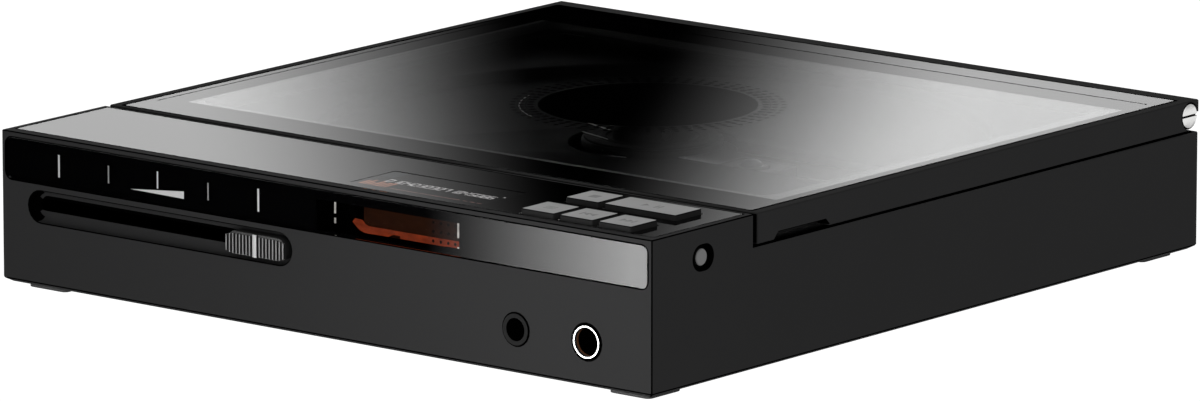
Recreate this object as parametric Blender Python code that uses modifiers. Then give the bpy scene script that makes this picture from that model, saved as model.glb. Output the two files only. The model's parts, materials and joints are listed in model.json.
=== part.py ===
"""A portable CD player: a milled aluminium case with a hinged glass lid over the disc well.

The origin is the middle of the case in plan, on the surface that the feet stand on.
+X points to the player's right, +Y to its back and +Z up. All lengths are in metres.
"""

import math

import bmesh
import bpy
from mathutils import Matrix, Vector

# Case
CASE_WIDTH = 0.150
CASE_DEPTH = 0.158
FOOT_HEIGHT = 0.0011
CASE_TOP = 0.0289
RIM_TOP = 0.0229
BOTTOM_BEVEL_WIDTH = 0.0012
BOTTOM_BEVEL_HEIGHT = 0.0007
WALL = 0.0022
THICK_WALL = 0.0047
FRONT_WALL = 0.0050
BAR_DEPTH = 0.0279
GAP = 0.0003

HALF_WIDTH = CASE_WIDTH / 2
FRONT = -CASE_DEPTH / 2
BACK = CASE_DEPTH / 2
BAR_BACK = FRONT + BAR_DEPTH
BAR_ROOF_BOTTOM = 0.0256
BAR_FLOOR = 0.0196
LEDGE_TOP = 0.0187

# Bottom cover and feet
COVER_THICKNESS = 0.0015
FOOT_SIZE = 0.0092
FOOT_INSET = 0.0031
SCREW_PLACES = {
    "front_left": (-0.0670, -0.0500),
    "front_right": (0.0670, -0.0500),
    "rear_left": (-0.0670, 0.0520),
    "rear_right": (0.0670, 0.0520),
}

# Lid and hinge
LID_FRONT = -0.0500
LID_BOTTOM = 0.0234
GLASS_THICKNESS = 0.0012
GLASS_FRONT = -0.0488
GLASS_BACK = 0.0752
GLASS_HALF_WIDTH = 0.0727
LID_OPENING_FRONT = -0.0445
LID_OPENING_BACK = 0.0720
LID_OPENING_HALF_WIDTH = 0.0700
HINGE_Y = 0.07645
HINGE_Z = 0.0261
KNUCKLE_RADIUS = 0.0016
KNUCKLE_INNER = 0.0660
KNUCKLE_OUTER = 0.0722
NOTCH_FRONT = -0.0451
NOTCH_BACK = -0.0299
NOTCH_TOP = 0.0246

# Control bar
PANEL_HALF_WIDTH = 0.0734
PANEL_FRONT = -0.0767
PANEL_BACK = -0.0521
PANEL_THICKNESS = 0.0010
BUTTON_SIZE = 0.0073
BUTTON_PITCH = 0.0086
BUTTON_TOP = 0.0298
BUTTON_FIRST_X = 0.0470
BUTTON_FRONT_ROW_Y = -0.0722
BUTTON_BACK_ROW_Y = -0.0601
DISPLAY_LOW = (0.0014, -0.0715)
DISPLAY_HIGH = (0.0311, -0.0608)

# Front face
WINDOW_HALF_WIDTH = 0.0739
WINDOW_LOW = 0.0203
WINDOW_HIGH = 0.0276
WINDOW_THICKNESS = 0.0012
TUBE_LEFT = -0.0006
TUBE_RIGHT = 0.0281
TUBE_RADIUS = 0.0023
TUBE_Z = 0.0229
BAY_LEFT = TUBE_LEFT - 0.0007
BAY_RIGHT = TUBE_RIGHT + 0.0040
BAY_FLOOR = TUBE_Z - TUBE_RADIUS - GAP
BAY_TOP = 0.0260
TRAY_WALL = 0.0012
TRAY_FLOOR = 0.0004
CHANNEL_LEFT = -0.0686
CHANNEL_RIGHT = -0.0064
CHANNEL_Z = 0.0159
CHANNEL_HEIGHT = 0.0058
CHANNEL_DEPTH = 0.0021
SLOT_LEFT = -0.0672
SLOT_RIGHT = -0.0078
SLOT_HEIGHT = 0.00185
KNOB_X = -0.0142
KNOB_LENGTH = 0.0132
KNOB_HEIGHT = 0.0050
KNOB_PROUD = 0.0010
KNOB_RIBS = 8
KNOB_RIB_PITCH = 0.0008
JACK_SMALL = (0.0448, 0.0091)
JACK_LARGE = (0.0606, 0.0091)
JACK_SMALL_HOLE = 0.00204
JACK_SMALL_SLEEVE = 0.00276
JACK_LARGE_HOLE = 0.00244
JACK_LARGE_SLEEVE = 0.00262
JACK_RING_INNER = 0.00270
JACK_RING_OUTER = 0.00310
JACK_CLEARANCE = 0.00016

# Right side
POWER_Y = -0.0650
POWER_Z = 0.0236
POWER_RECESS_LENGTH = 0.0055
POWER_RECESS_HEIGHT = 0.0044
POWER_BUTTON_RADIUS = 0.00155

# Disc drive
DISC_Y = 0.0139
WELL_RADIUS = 0.0615
WELL_FLOOR = 0.0207
HUB_PLATFORM_RADIUS = 0.0130
HUB_PLATFORM_TOP = 0.0215
HUB_SPIGOT_RADIUS = 0.0073
HUB_TOP = 0.0249
CHASSIS_LOW = 0.0156
CHASSIS_HIGH = 0.0166
ROD_Z = 0.0120
ROD_RADIUS = 0.00125
ROD_SPACING = 0.0240
LENS_REST_X = 0.0230
SLED_TRAVEL = 0.0360
GEAR_MODULE = 0.0008
PINION_TEETH = 10
WHEEL_TEETH = 24
PRESSURE_ANGLE = math.radians(25)
TOOTH_THINNING = 0.0001
GEAR_X = 0.0300
RACK_LINE_Y = DISC_Y - 0.0240
GEAR_Y = RACK_LINE_Y - GEAR_MODULE * PINION_TEETH / 2
MOTOR_X = GEAR_X - GEAR_MODULE * (PINION_TEETH + WHEEL_TEETH) / 2

ROUND_STEPS = 20
SMALL_STEPS = 12
FINE_STEPS = 30
WELL_STEPS = 64


def clear_scene():
    for obj in list(bpy.data.objects):
        bpy.data.objects.remove(obj)


def new_collection(name, hidden=False):
    made = bpy.data.collections.new(name)
    made.hide_render = hidden
    bpy.context.scene.collection.children.link(made)
    return made


def new_material(name, colour, roughness, metallic=0.0):
    made = bpy.data.materials.new(name)
    made.use_nodes = True
    shader = made.node_tree.nodes["Principled BSDF"]
    shader.inputs["Base Color"].default_value = (*colour, 1.0)
    shader.inputs["Roughness"].default_value = roughness
    shader.inputs["Metallic"].default_value = metallic
    made.diffuse_color = (*colour, 1.0)
    return made


clear_scene()
PLAYER = new_collection("portable_cd_player")
CUTTERS = new_collection("cutters", hidden=True)

ANODISED = new_material("anodised_aluminium", (0.045, 0.045, 0.047), 0.42, 0.9)
BLACK_GLASS = new_material("black_glass", (0.01, 0.01, 0.011), 0.06)
BUTTON_METAL = new_material("button_metal", (0.62, 0.62, 0.62), 0.4, 0.8)
BLACK_PLASTIC = new_material("black_plastic", (0.02, 0.02, 0.02), 0.5)
STEEL = new_material("polished_steel", (0.75, 0.75, 0.75), 0.2, 1.0)
BRASS = new_material("gilt_brass", (0.80, 0.60, 0.35), 0.3, 1.0)
RUBBER = new_material("rubber", (0.03, 0.03, 0.03), 0.9)
BOARD_GREEN = new_material("circuit_board", (0.02, 0.12, 0.05), 0.5)
LAMP_GLASS = new_material("tube_glass", (0.35, 0.20, 0.12), 0.1)
WHITE_PLASTIC = new_material("white_plastic", (0.80, 0.80, 0.78), 0.45)
LENS_BLUE = new_material("lens_blue", (0.10, 0.20, 0.55), 0.05)
FOIL = new_material("battery_foil", (0.30, 0.32, 0.34), 0.45, 0.6)


def add_object(name, bm, place, material):
    """Turns a bmesh into an object at a place, in the player's collection."""
    mesh = bpy.data.meshes.new(name)
    bmesh.ops.recalc_face_normals(bm, faces=bm.faces[:])
    bm.to_mesh(mesh)
    bm.free()
    obj = bpy.data.objects.new(name, mesh)
    obj.location = place
    PLAYER.objects.link(obj)
    if material:
        mesh.materials.append(material)
    return obj


def smooth(obj):
    obj.data.shade_smooth()
    obj.data.set_sharp_from_angle(angle=math.radians(35))
    return obj


def edges_along(bm, axis):
    """The edges of a box that run along one axis."""
    others = [i for i in range(3) if i != axis]
    found = []
    for edge in bm.edges:
        run = edge.verts[0].co - edge.verts[1].co
        if all(abs(run[i]) < 1e-9 for i in others):
            found.append(edge)
    return found


def box(name, low, high, material=None, radius=0.0, axis=2, segments=4):
    """A box between two corners, with the edges along one axis rounded."""
    low = Vector(low)
    high = Vector(high)
    bm = bmesh.new()
    bmesh.ops.create_cube(bm, size=1.0)
    bmesh.ops.scale(bm, vec=high - low, verts=bm.verts[:])
    if radius:
        bmesh.ops.bevel(
            bm,
            geom=edges_along(bm, axis),
            offset=radius,
            segments=segments,
            profile=0.5,
            affect="EDGES",
        )
    return add_object(name, bm, (low + high) / 2, material)


def rod(name, radius, start, end, material=None, steps=ROUND_STEPS):
    """A cylinder from one point to another."""
    start = Vector(start)
    end = Vector(end)
    run = end - start
    bm = bmesh.new()
    bmesh.ops.create_cone(
        bm,
        cap_ends=True,
        segments=steps,
        radius1=radius,
        radius2=radius,
        depth=run.length,
    )
    turn = Vector((0, 0, 1)).rotation_difference(run).to_matrix().to_4x4()
    bmesh.ops.transform(bm, matrix=turn, verts=bm.verts[:])
    return smooth(add_object(name, bm, (start + end) / 2, material))


def turned(name, profile, place, material=None, direction=(0, 0, 1), steps=ROUND_STEPS):
    """A profile of (radius, height) pairs, from the top down its outer side, turned about an axis."""
    bm = bmesh.new()
    points = [bm.verts.new((radius, 0.0, height)) for radius, height in profile]
    for upper, lower in zip(points, points[1:]):
        bm.edges.new((upper, lower))
    mesh = bpy.data.meshes.new(name)
    bm.to_mesh(mesh)
    bm.free()
    obj = bpy.data.objects.new(name, mesh)
    PLAYER.objects.link(obj)
    if material:
        mesh.materials.append(material)
    obj.location = place
    obj.rotation_euler = Vector((0, 0, 1)).rotation_difference(Vector(direction)).to_euler()
    screw = obj.modifiers.new("turn", "SCREW")
    screw.axis = "Z"
    screw.steps = steps
    screw.render_steps = steps
    screw.use_merge_vertices = True
    screw.merge_threshold = 0.000001
    screw.use_smooth_shade = True
    return obj


def outline_plate(name, points, low, high, material=None, place=(0, 0)):
    """A flat outline in plan, given thickness between two heights."""
    curve = bpy.data.curves.new(name, "CURVE")
    curve.dimensions = "2D"
    curve.fill_mode = "BOTH"
    curve.extrude = (high - low) / 2
    spline = curve.splines.new("POLY")
    spline.points.add(len(points) - 1)
    for point, (x, y) in zip(spline.points, points):
        point.co = (x, y, 0.0, 1.0)
    spline.use_cyclic_u = True
    guide = bpy.data.objects.new(name + "_outline", curve)
    bpy.context.scene.collection.objects.link(guide)
    bpy.context.view_layer.update()
    flat = bpy.data.meshes.new_from_object(guide.evaluated_get(bpy.context.evaluated_depsgraph_get()))
    bpy.data.objects.remove(guide)
    bm = bmesh.new()
    bm.from_mesh(flat)
    bpy.data.meshes.remove(flat)
    bmesh.ops.remove_doubles(bm, verts=bm.verts[:], dist=1e-7)
    return add_object(name, bm, (place[0], place[1], (low + high) / 2), material)


def change(obj, tool, operation):
    """Adds a Boolean to an object. The tool goes to the cutters' collection."""
    for home in list(tool.users_collection):
        home.objects.unlink(tool)
    CUTTERS.objects.link(tool)
    tool.display_type = "WIRE"
    tool.hide_render = True
    step = obj.modifiers.new(tool.name, "BOOLEAN")
    step.operation = operation
    step.solver = "EXACT"
    step.object = tool
    return obj


def cut(obj, *tools):
    for tool in tools:
        change(obj, tool, "DIFFERENCE")
    return obj


def join(obj, *tools):
    for tool in tools:
        change(obj, tool, "UNION")
    return obj


def carry(name, place, *pieces):
    """An empty on a joint's axis, which carries the pieces that move with it."""
    empty = bpy.data.objects.new(name, None)
    empty.location = place
    empty.empty_display_size = 0.005
    PLAYER.objects.link(empty)
    for piece in pieces:
        piece.parent = empty
        piece.matrix_parent_inverse = Matrix.Translation(-Vector(place))
    return empty


def stadium(name, left, right, middle_z, height, front, back):
    """A slot with round ends, seen from the front."""
    low = (left, front, middle_z - height / 2)
    high = (right, back, middle_z + height / 2)
    return box(name, low, high, radius=height * 0.499, axis=1, segments=5)


def button_spans():
    """Each button's place in plan: name, low corner and high corner."""
    half = BUTTON_SIZE / 2
    columns = [BUTTON_FIRST_X + BUTTON_PITCH * i for i in range(3)]
    names = ("button_mode", "button_previous", "button_next")
    spans = []
    for name, x in zip(names, columns):
        spans.append((name, (x - half, BUTTON_FRONT_ROW_Y - half), (x + half, BUTTON_FRONT_ROW_Y + half)))
    back_low = BUTTON_BACK_ROW_Y - half
    back_high = BUTTON_BACK_ROW_Y + half
    spans.append(("button_stop", (columns[0] - half, back_low), (columns[0] + half, back_high)))
    spans.append(("button_play", (columns[1] - half, back_low), (columns[2] + half, back_high)))
    return spans


def bevelled_case():
    """The case's outer block. The bevel round its bottom is wider than it is high."""
    bm = bmesh.new()
    bmesh.ops.create_cube(bm, size=1.0)
    bmesh.ops.scale(bm, vec=(CASE_WIDTH, CASE_DEPTH, CASE_TOP - FOOT_HEIGHT), verts=bm.verts[:])
    middle = (CASE_TOP + FOOT_HEIGHT) / 2
    bevel_top = FOOT_HEIGHT + BOTTOM_BEVEL_HEIGHT - middle
    everything = bm.verts[:] + bm.edges[:] + bm.faces[:]
    bmesh.ops.bisect_plane(bm, geom=everything, plane_co=(0, 0, bevel_top), plane_no=(0, 0, 1))
    for corner in bm.verts:
        if corner.co.z < bevel_top - 0.0001:
            corner.co.x -= math.copysign(BOTTOM_BEVEL_WIDTH, corner.co.x)
            corner.co.y -= math.copysign(BOTTOM_BEVEL_WIDTH, corner.co.y)
    return add_object("base_housing", bm, (0, 0, middle), ANODISED)


def make_base_housing():
    """A full-height bar in front, a lower tray behind, and one hollow that the cover closes."""
    case = bevelled_case()
    inner_x = HALF_WIDTH - WALL
    narrow_x = HALF_WIDTH - THICK_WALL
    inner_front = FRONT + WALL
    inner_back = BACK - WALL
    narrow_back = BACK - THICK_WALL
    cover_top = FOOT_HEIGHT + COVER_THICKNESS + GAP
    far = 0.010
    cut(
        case,
        box("step_cut", (-CASE_WIDTH, BAR_BACK, RIM_TOP), (CASE_WIDTH, CASE_DEPTH, CASE_TOP + far)),
        box("cover_seat", (-inner_x, inner_front, -far), (inner_x, inner_back, cover_top)),
        box(
            "main_hollow",
            (-narrow_x, FRONT + FRONT_WALL, 0.0),
            (narrow_x, narrow_back, LEDGE_TOP),
            radius=0.002,
        ),
        box(
            "deck_seat",
            (-inner_x, BAR_BACK, LEDGE_TOP - 0.0002),
            (inner_x, inner_back, CASE_TOP),
            radius=0.001,
        ),
        box("bar_hollow", (-narrow_x, -0.0764, 0.0150), (narrow_x, -0.0533, BAR_ROOF_BOTTOM), radius=0.001),
    )
    # The bar hollow must not open the thick lower front wall, so that wall is put back.
    join(
        case,
        box(
            "front_wall",
            (-narrow_x - 0.001, FRONT + 0.0010, 0.0040),
            (narrow_x + 0.001, FRONT + FRONT_WALL, BAR_FLOOR),
        ),
    )
    for side, (x, y) in SCREW_PLACES.items():
        join(case, rod("boss_" + side, 0.0040, (x, y, cover_top + 0.0001), (x, y, 0.0090)))
        cut(case, rod("thread_" + side, 0.0009, (x, y, 0.0), (x, y, 0.0080), steps=SMALL_STEPS))
    cut(
        case,
        box(
            "panel_pocket",
            (-PANEL_HALF_WIDTH - 0.0002, PANEL_FRONT - 0.0002, CASE_TOP - PANEL_THICKNESS - GAP),
            (PANEL_HALF_WIDTH + 0.0002, PANEL_BACK + 0.0002, CASE_TOP + far),
            radius=0.0004,
        ),
        box(
            "window_pocket",
            (-WINDOW_HALF_WIDTH - 0.0002, FRONT - far, WINDOW_LOW - 0.0002),
            (WINDOW_HALF_WIDTH + 0.0002, FRONT + WINDOW_THICKNESS + 0.0002, WINDOW_HIGH + 0.0002),
            radius=0.0015,
            axis=1,
        ),
        box("tube_opening", (BAY_LEFT, FRONT - far, BAY_FLOOR), (BAY_RIGHT, -0.0740, BAY_TOP)),
        box(
            "display_opening",
            (DISPLAY_LOW[0] - GAP, DISPLAY_LOW[1] - GAP, BAR_ROOF_BOTTOM - 0.001),
            (DISPLAY_HIGH[0] + GAP, DISPLAY_HIGH[1] + GAP, CASE_TOP),
        ),
    )
    for name, low, high in button_spans():
        cut(
            case,
            box(
                "hole_" + name,
                (low[0] - GAP, low[1] - GAP, BAR_ROOF_BOTTOM - 0.001),
                (high[0] + GAP, high[1] + GAP, CASE_TOP),
            ),
        )
    cut(
        case,
        fader_channel(),
        stadium("fader_slot", SLOT_LEFT, SLOT_RIGHT, CHANNEL_Z, SLOT_HEIGHT, FRONT, FRONT + 0.0080),
        jack_hole("small_jack_hole", JACK_SMALL, JACK_SMALL_SLEEVE),
        jack_hole("large_jack_hole", JACK_LARGE, JACK_RING_OUTER),
        power_recess(),
        rod("power_hole", POWER_BUTTON_RADIUS + 0.0002, (0.068, POWER_Y, POWER_Z), (0.080, POWER_Y, POWER_Z)),
        box("usb_hole", (-0.0448, BACK - far, 0.0043), (-0.0352, BACK + far, 0.0081), radius=0.0018, axis=1),
        rod("line_out_hole", 0.0033, (-0.0560, BACK - far, 0.0078), (-0.0560, BACK + far, 0.0078)),
        box("left_bracket_relief", (-0.0725, 0.0730, 0.0180), (-0.0657, inner_back, 0.0240)),
        box("right_bracket_relief", (0.0657, 0.0730, 0.0180), (0.0725, inner_back, 0.0240)),
    )
    return case


def jack_hole(name, place, radius):
    """A hole through the front wall, a little wider than what sits in it."""
    x, z = place
    return rod(name, radius + JACK_CLEARANCE, (x, FRONT - 0.010, z), (x, FRONT + 0.010, z))


def fader_channel():
    """The volume channel: straight walls that curve in to a narrower floor."""
    fillet = 0.0012
    height = CHANNEL_HEIGHT / 2
    bm = bmesh.new()
    left = CHANNEL_LEFT + height
    right = CHANNEL_RIGHT - height
    sections = [(height, -0.0050), (height, CHANNEL_DEPTH - fillet)]
    for step in range(1, 4):
        turn = math.radians(90 * step / 3)
        radius = height - fillet * (1 - math.cos(turn))
        sections.append((radius, CHANNEL_DEPTH - fillet * (1 - math.sin(turn))))
    loops = []
    steps = 10
    for radius, depth in sections:
        loop = []
        for end, start_angle in ((right, -90), (left, 90)):
            for step in range(steps + 1):
                turn = math.radians(start_angle + 180 * step / steps)
                x = end + radius * math.cos(turn)
                z = CHANNEL_Z + radius * math.sin(turn)
                loop.append(bm.verts.new((x, FRONT + depth, z)))
        loops.append(loop)
    for outer, inner in zip(loops, loops[1:]):
        bmesh.ops.bridge_loops(bm, edges=ring_edges(bm, outer) + ring_edges(bm, inner))
    bm.faces.new(loops[0])
    bm.faces.new(loops[-1])
    return add_object("fader_channel", bm, (0, 0, 0), None)


def ring_edges(bm, loop):
    """The closed ring of edges through a list of points, made where it isn't there yet."""
    found = []
    for first, second in zip(loop, loop[1:] + loop[:1]):
        found.append(bm.edges.get((first, second)) or bm.edges.new((first, second)))
    return found


def power_recess():
    """A shallow oval dish round the power button."""
    low = (HALF_WIDTH - 0.0005, POWER_Y - POWER_RECESS_LENGTH / 2, POWER_Z - POWER_RECESS_HEIGHT / 2)
    high = (HALF_WIDTH + 0.005, POWER_Y + POWER_RECESS_LENGTH / 2, POWER_Z + POWER_RECESS_HEIGHT / 2)
    return box("power_recess", low, high, radius=POWER_RECESS_HEIGHT * 0.499, axis=0, segments=8)


def make_bottom():
    """The cover plate, its screws and the four feet."""
    cover_x = HALF_WIDTH - WALL - GAP
    cover_y = BACK - WALL - GAP
    low = (-cover_x, -cover_y, FOOT_HEIGHT)
    high = (cover_x, cover_y, FOOT_HEIGHT + COVER_THICKNESS)
    cover = box("bottom_cover", low, high, ANODISED, radius=0.0005, segments=2)
    head_depth = 0.0009
    head_face = FOOT_HEIGHT + 0.0001
    for side, (x, y) in SCREW_PLACES.items():
        place = (x, y, 0)
        cut(
            cover,
            rod("cover_hole_" + side, 0.0012, (x, y, 0), (x, y, 0.005), steps=SMALL_STEPS),
            rod("head_hole_" + side, 0.0021, (x, y, 0), (x, y, FOOT_HEIGHT + head_depth + 0.0001)),
        )
        screw = turned(
            "cover_screw_" + side,
            [
                (0, 0.0070),
                (0.0007, 0.0070),
                (0.0007, FOOT_HEIGHT + head_depth),
                (0.0018, FOOT_HEIGHT + head_depth - 0.0001),
                (0.0018, head_face),
                (0, head_face),
            ],
            place,
            STEEL,
            steps=SMALL_STEPS,
        )
        drive_top = FOOT_HEIGHT + 0.0005
        slot = box("drive_" + side, (x - 0.0012, y - 0.0002, 0), (x + 0.0012, y + 0.0002, drive_top))
        cross = box("drive_cross_" + side, (x - 0.0002, y - 0.0012, 0), (x + 0.0002, y + 0.0012, drive_top))
        cut(screw, slot, cross)
    reach_x = HALF_WIDTH - FOOT_INSET - FOOT_SIZE / 2
    reach_y = BACK - FOOT_INSET - FOOT_SIZE / 2
    for name, x, y in (
        ("foot_front_left", -reach_x, -reach_y),
        ("foot_front_right", reach_x, -reach_y),
        ("foot_rear_left", -reach_x, reach_y),
        ("foot_rear_right", reach_x, reach_y),
    ):
        half = FOOT_SIZE / 2
        foot_top = FOOT_HEIGHT - 0.00005
        low = (x - half, y - half, 0)
        high = (x + half, y + half, foot_top)
        foot = box(name, low, high, RUBBER, radius=0.0012, segments=3)
        rounded = foot.modifiers.new("soft_rim", "BEVEL")
        rounded.width = 0.0002
        rounded.segments = 1
        rounded.limit_method = "ANGLE"
        rounded.angle_limit = math.radians(60)


def make_control_bar():
    """The glass panel with its five buttons, the display under it and the switch board."""
    panel = box(
        "control_panel",
        (-PANEL_HALF_WIDTH, PANEL_FRONT, CASE_TOP - PANEL_THICKNESS),
        (PANEL_HALF_WIDTH, PANEL_BACK, CASE_TOP),
        BLACK_GLASS,
        radius=0.0003,
        segments=2,
    )
    for name, low, high in button_spans():
        hole = box(
            "panel_" + name,
            (low[0] - GAP, low[1] - GAP, CASE_TOP - 0.005),
            (high[0] + GAP, high[1] + GAP, CASE_TOP + 0.005),
            radius=0.0003,
            segments=1,
        )
        cut(panel, hole)
    display_top = CASE_TOP - PANEL_THICKNESS - 0.0002
    display = box(
        "display_module",
        (*DISPLAY_LOW, display_top - 0.0018),
        (*DISPLAY_HIGH, display_top),
        BLACK_GLASS,
    )
    board_top = 0.0232
    board_low = (0.0420, -0.0755, board_top - 0.0010)
    board = box("button_board", board_low, (0.0690, -0.0550, board_top), BOARD_GREEN)
    notch_low = (0.0646, POWER_Y - 0.0033, 0.020)
    cut(board, box("power_switch_notch", notch_low, (0.0720, POWER_Y + 0.0033, 0.026)))
    for x in (0.0513, 0.0599):
        start = (x, -0.0662, board_top - 0.0003)
        join(board, rod(f"board_post_{x:.4f}", 0.0010, start, (x, -0.0662, 0.0253), steps=SMALL_STEPS))
    for name, low, high in button_spans():
        middle_x = (low[0] + high[0]) / 2
        middle_y = (low[1] + high[1]) / 2
        can = box(
            "switch_" + name,
            (middle_x - 0.0018, middle_y - 0.0018, board_top - 0.0003),
            (middle_x + 0.0018, middle_y + 0.0018, board_top + 0.0008),
        )
        dome = rod(
            "dome_" + name,
            0.0009,
            (middle_x, middle_y, board_top + 0.0002),
            (middle_x, middle_y, board_top + 0.0012),
            steps=SMALL_STEPS,
        )
        join(board, can, dome)
    for name, low, high in button_spans():
        make_button(name, low, high)
    return display


def make_button(name, low, high):
    """A square key with a bevelled rim and a stem that reaches its switch."""
    middle = Vector(((low[0] + high[0]) / 2, (low[1] + high[1]) / 2, BUTTON_TOP))
    cap_bottom = BAR_ROOF_BOTTOM + 0.0002
    cap = box(name, (*low, cap_bottom), (*high, BUTTON_TOP), BUTTON_METAL, radius=0.0003, segments=1)
    rim = cap.modifiers.new("rim", "BEVEL")
    rim.width = 0.0002
    rim.segments = 1
    rim.limit_method = "ANGLE"
    rim.angle_limit = math.radians(60)
    stem = rod(
        "stem_" + name,
        0.0012,
        (middle.x, middle.y, 0.0250),
        (middle.x, middle.y, cap_bottom + 0.001),
        steps=SMALL_STEPS,
    )
    join(cap, stem)
    return carry(name + "_axis", middle, cap)


def make_front_window():
    """The dark strip across the front, and the tube bay behind it."""
    window = box(
        "front_window",
        (-WINDOW_HALF_WIDTH, FRONT, WINDOW_LOW),
        (WINDOW_HALF_WIDTH, FRONT + WINDOW_THICKNESS, WINDOW_HIGH),
        BLACK_GLASS,
        radius=0.0013,
        axis=1,
    )
    tray = box(
        "tube_tray",
        (BAY_LEFT - TRAY_WALL, -0.0760, BAY_FLOOR - TRAY_FLOOR),
        (BAY_RIGHT + TRAY_WALL, -0.0630, 0.0252),
        BLACK_PLASTIC,
    )
    cut(tray, box("tray_bay", (BAY_LEFT, -0.0770, BAY_FLOOR), (BAY_RIGHT, -0.0638, BAY_TOP)))
    for name, y in (("tube_front", -0.0730), ("tube_rear", -0.0672)):
        make_tube(name, y)
    return window


def make_tube(name, y):
    """A small wire-ended glass tube lying along the bay, with a rounded nose and a pinched base."""
    profile = [(0.0, TUBE_RIGHT)]
    steps = 5
    for step in range(1, steps + 1):
        turn = math.radians(90 * step / steps)
        profile.append((TUBE_RADIUS * math.sin(turn), TUBE_RIGHT - TUBE_RADIUS * (1 - math.cos(turn))))
    profile += [
        (TUBE_RADIUS, TUBE_LEFT + 0.0020),
        (TUBE_RADIUS * 0.8, TUBE_LEFT + 0.0008),
        (TUBE_RADIUS * 0.45, TUBE_LEFT),
        (0.0, TUBE_LEFT),
    ]
    return turned(name, profile, (0, y, TUBE_Z), LAMP_GLASS, direction=(1, 0, 0), steps=SMALL_STEPS)


def make_volume_fader():
    """The ribbed volume knob in its channel, and the fader behind the wall."""
    knob_left = KNOB_X - KNOB_LENGTH / 2
    knob_right = KNOB_X + KNOB_LENGTH / 2
    knob_low = CHANNEL_Z - KNOB_HEIGHT / 2
    knob_high = CHANNEL_Z + KNOB_HEIGHT / 2
    face = FRONT - KNOB_PROUD
    floor = FRONT + CHANNEL_DEPTH
    knob = box(
        "volume_knob",
        (knob_left, face, knob_low + 0.0004),
        (knob_right, floor - 0.0011, knob_high - 0.0004),
        BLACK_PLASTIC,
        radius=0.0012,
        axis=1,
    )
    tongue = box(
        "knob_tongue",
        (KNOB_X - 0.0030, floor - 0.0020, CHANNEL_Z - 0.0006),
        (KNOB_X + 0.0030, FRONT + 0.0082, CHANNEL_Z + 0.0006),
    )
    foot = box(
        "knob_foot",
        (knob_left + 0.0008, floor - 0.0014, CHANNEL_Z - 0.0015),
        (knob_right - 0.0008, floor - GAP, CHANNEL_Z + 0.0015),
    )
    join(knob, foot, tongue)
    for side in (-1, 1):
        for step in range(KNOB_RIBS):
            x = KNOB_X + side * (0.0010 + KNOB_RIB_PITCH * (step + 0.2))
            groove = box(
                f"groove_{side}_{step}",
                (x - 0.0002, face - 0.001, CHANNEL_Z - 0.0030),
                (x + 0.0002, face + 0.0003, CHANNEL_Z + 0.0030),
            )
            cut(knob, groove)
    wiper = box(
        "fader_wiper",
        (KNOB_X - 0.0045, FRONT + 0.0085, CHANNEL_Z - 0.0012),
        (KNOB_X + 0.0045, FRONT + 0.0100, CHANNEL_Z + 0.0012),
        BRASS,
        radius=0.0004,
        axis=1,
        segments=2,
    )
    body_low = (-0.0695, FRONT + 0.0054, 0.0122)
    body = box("volume_fader", body_low, (-0.0050, FRONT + 0.0124, 0.0188), BLACK_PLASTIC)
    cut(
        body,
        box("fader_track", (-0.0680, FRONT + 0.0080, 0.0140), (-0.0065, FRONT + 0.0106, 0.0178)),
        box("fader_mouth", (-0.0680, FRONT + 0.0040, 0.0150), (-0.0065, FRONT + 0.0090, 0.0168)),
    )
    carry("volume_axis", (KNOB_X, FRONT, CHANNEL_Z), knob, wiper)
    return body


def make_jack(name, place, hole, sleeve, length, material):
    """A headphone jack: a round sleeve through the wall, on a square body behind it."""
    x, z = place
    start = FRONT + 0.0001
    body_front = FRONT + 0.0053
    jack = rod(name, sleeve, (x, start, z), (x, body_front + 0.001, z), material)
    body = box(
        name + "_body",
        (x - 0.0040, body_front, z - 0.0047),
        (x + 0.0040, body_front + length, z + 0.0035),
    )
    join(jack, body)
    cut(jack, rod(name + "_bore", hole, (x, FRONT - 0.005, z), (x, body_front + length - 0.0015, z)))
    return jack


def make_jacks():
    """The two headphone jacks in front, with the bright ring of the larger one."""
    make_jack("headphone_jack_35", JACK_SMALL, JACK_SMALL_HOLE, JACK_SMALL_SLEEVE, 0.0120, BLACK_PLASTIC)
    make_jack("headphone_jack_44", JACK_LARGE, JACK_LARGE_HOLE, JACK_LARGE_SLEEVE, 0.0140, BLACK_PLASTIC)
    x, z = JACK_LARGE
    ring = turned(
        "jack_trim_ring",
        [
            (JACK_RING_INNER, 0.0015),
            (JACK_RING_OUTER, 0.0015),
            (JACK_RING_OUTER, 0.0),
            (JACK_RING_INNER, 0.0),
            (JACK_RING_INNER, 0.0015),
        ],
        (x, FRONT, z),
        STEEL,
        direction=(0, 1, 0),
        steps=FINE_STEPS,
    )
    return ring


def make_power_button():
    """The round push button on the right side, and its switch."""
    face = HALF_WIDTH - 0.0003
    flange = HALF_WIDTH - THICK_WALL - GAP
    button = turned(
        "power_button",
        [
            (0, face),
            (POWER_BUTTON_RADIUS - 0.00025, face),
            (POWER_BUTTON_RADIUS, face - 0.00015),
            (POWER_BUTTON_RADIUS, flange),
            (0.0019, flange),
            (0.0019, flange - 0.0006),
            (0.0010, flange - 0.0006),
            (0.0010, flange - 0.0012),
            (0, flange - 0.0012),
        ],
        (0, POWER_Y, POWER_Z),
        BUTTON_METAL,
        direction=(1, 0, 0),
    )
    carry("power_axis", (face, POWER_Y, POWER_Z), button)
    switch = box(
        "power_switch",
        (0.0652, POWER_Y - 0.0025, POWER_Z - 0.0022),
        (0.0682, POWER_Y + 0.0025, POWER_Z + 0.0014),
        BLACK_PLASTIC,
    )
    return switch


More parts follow.
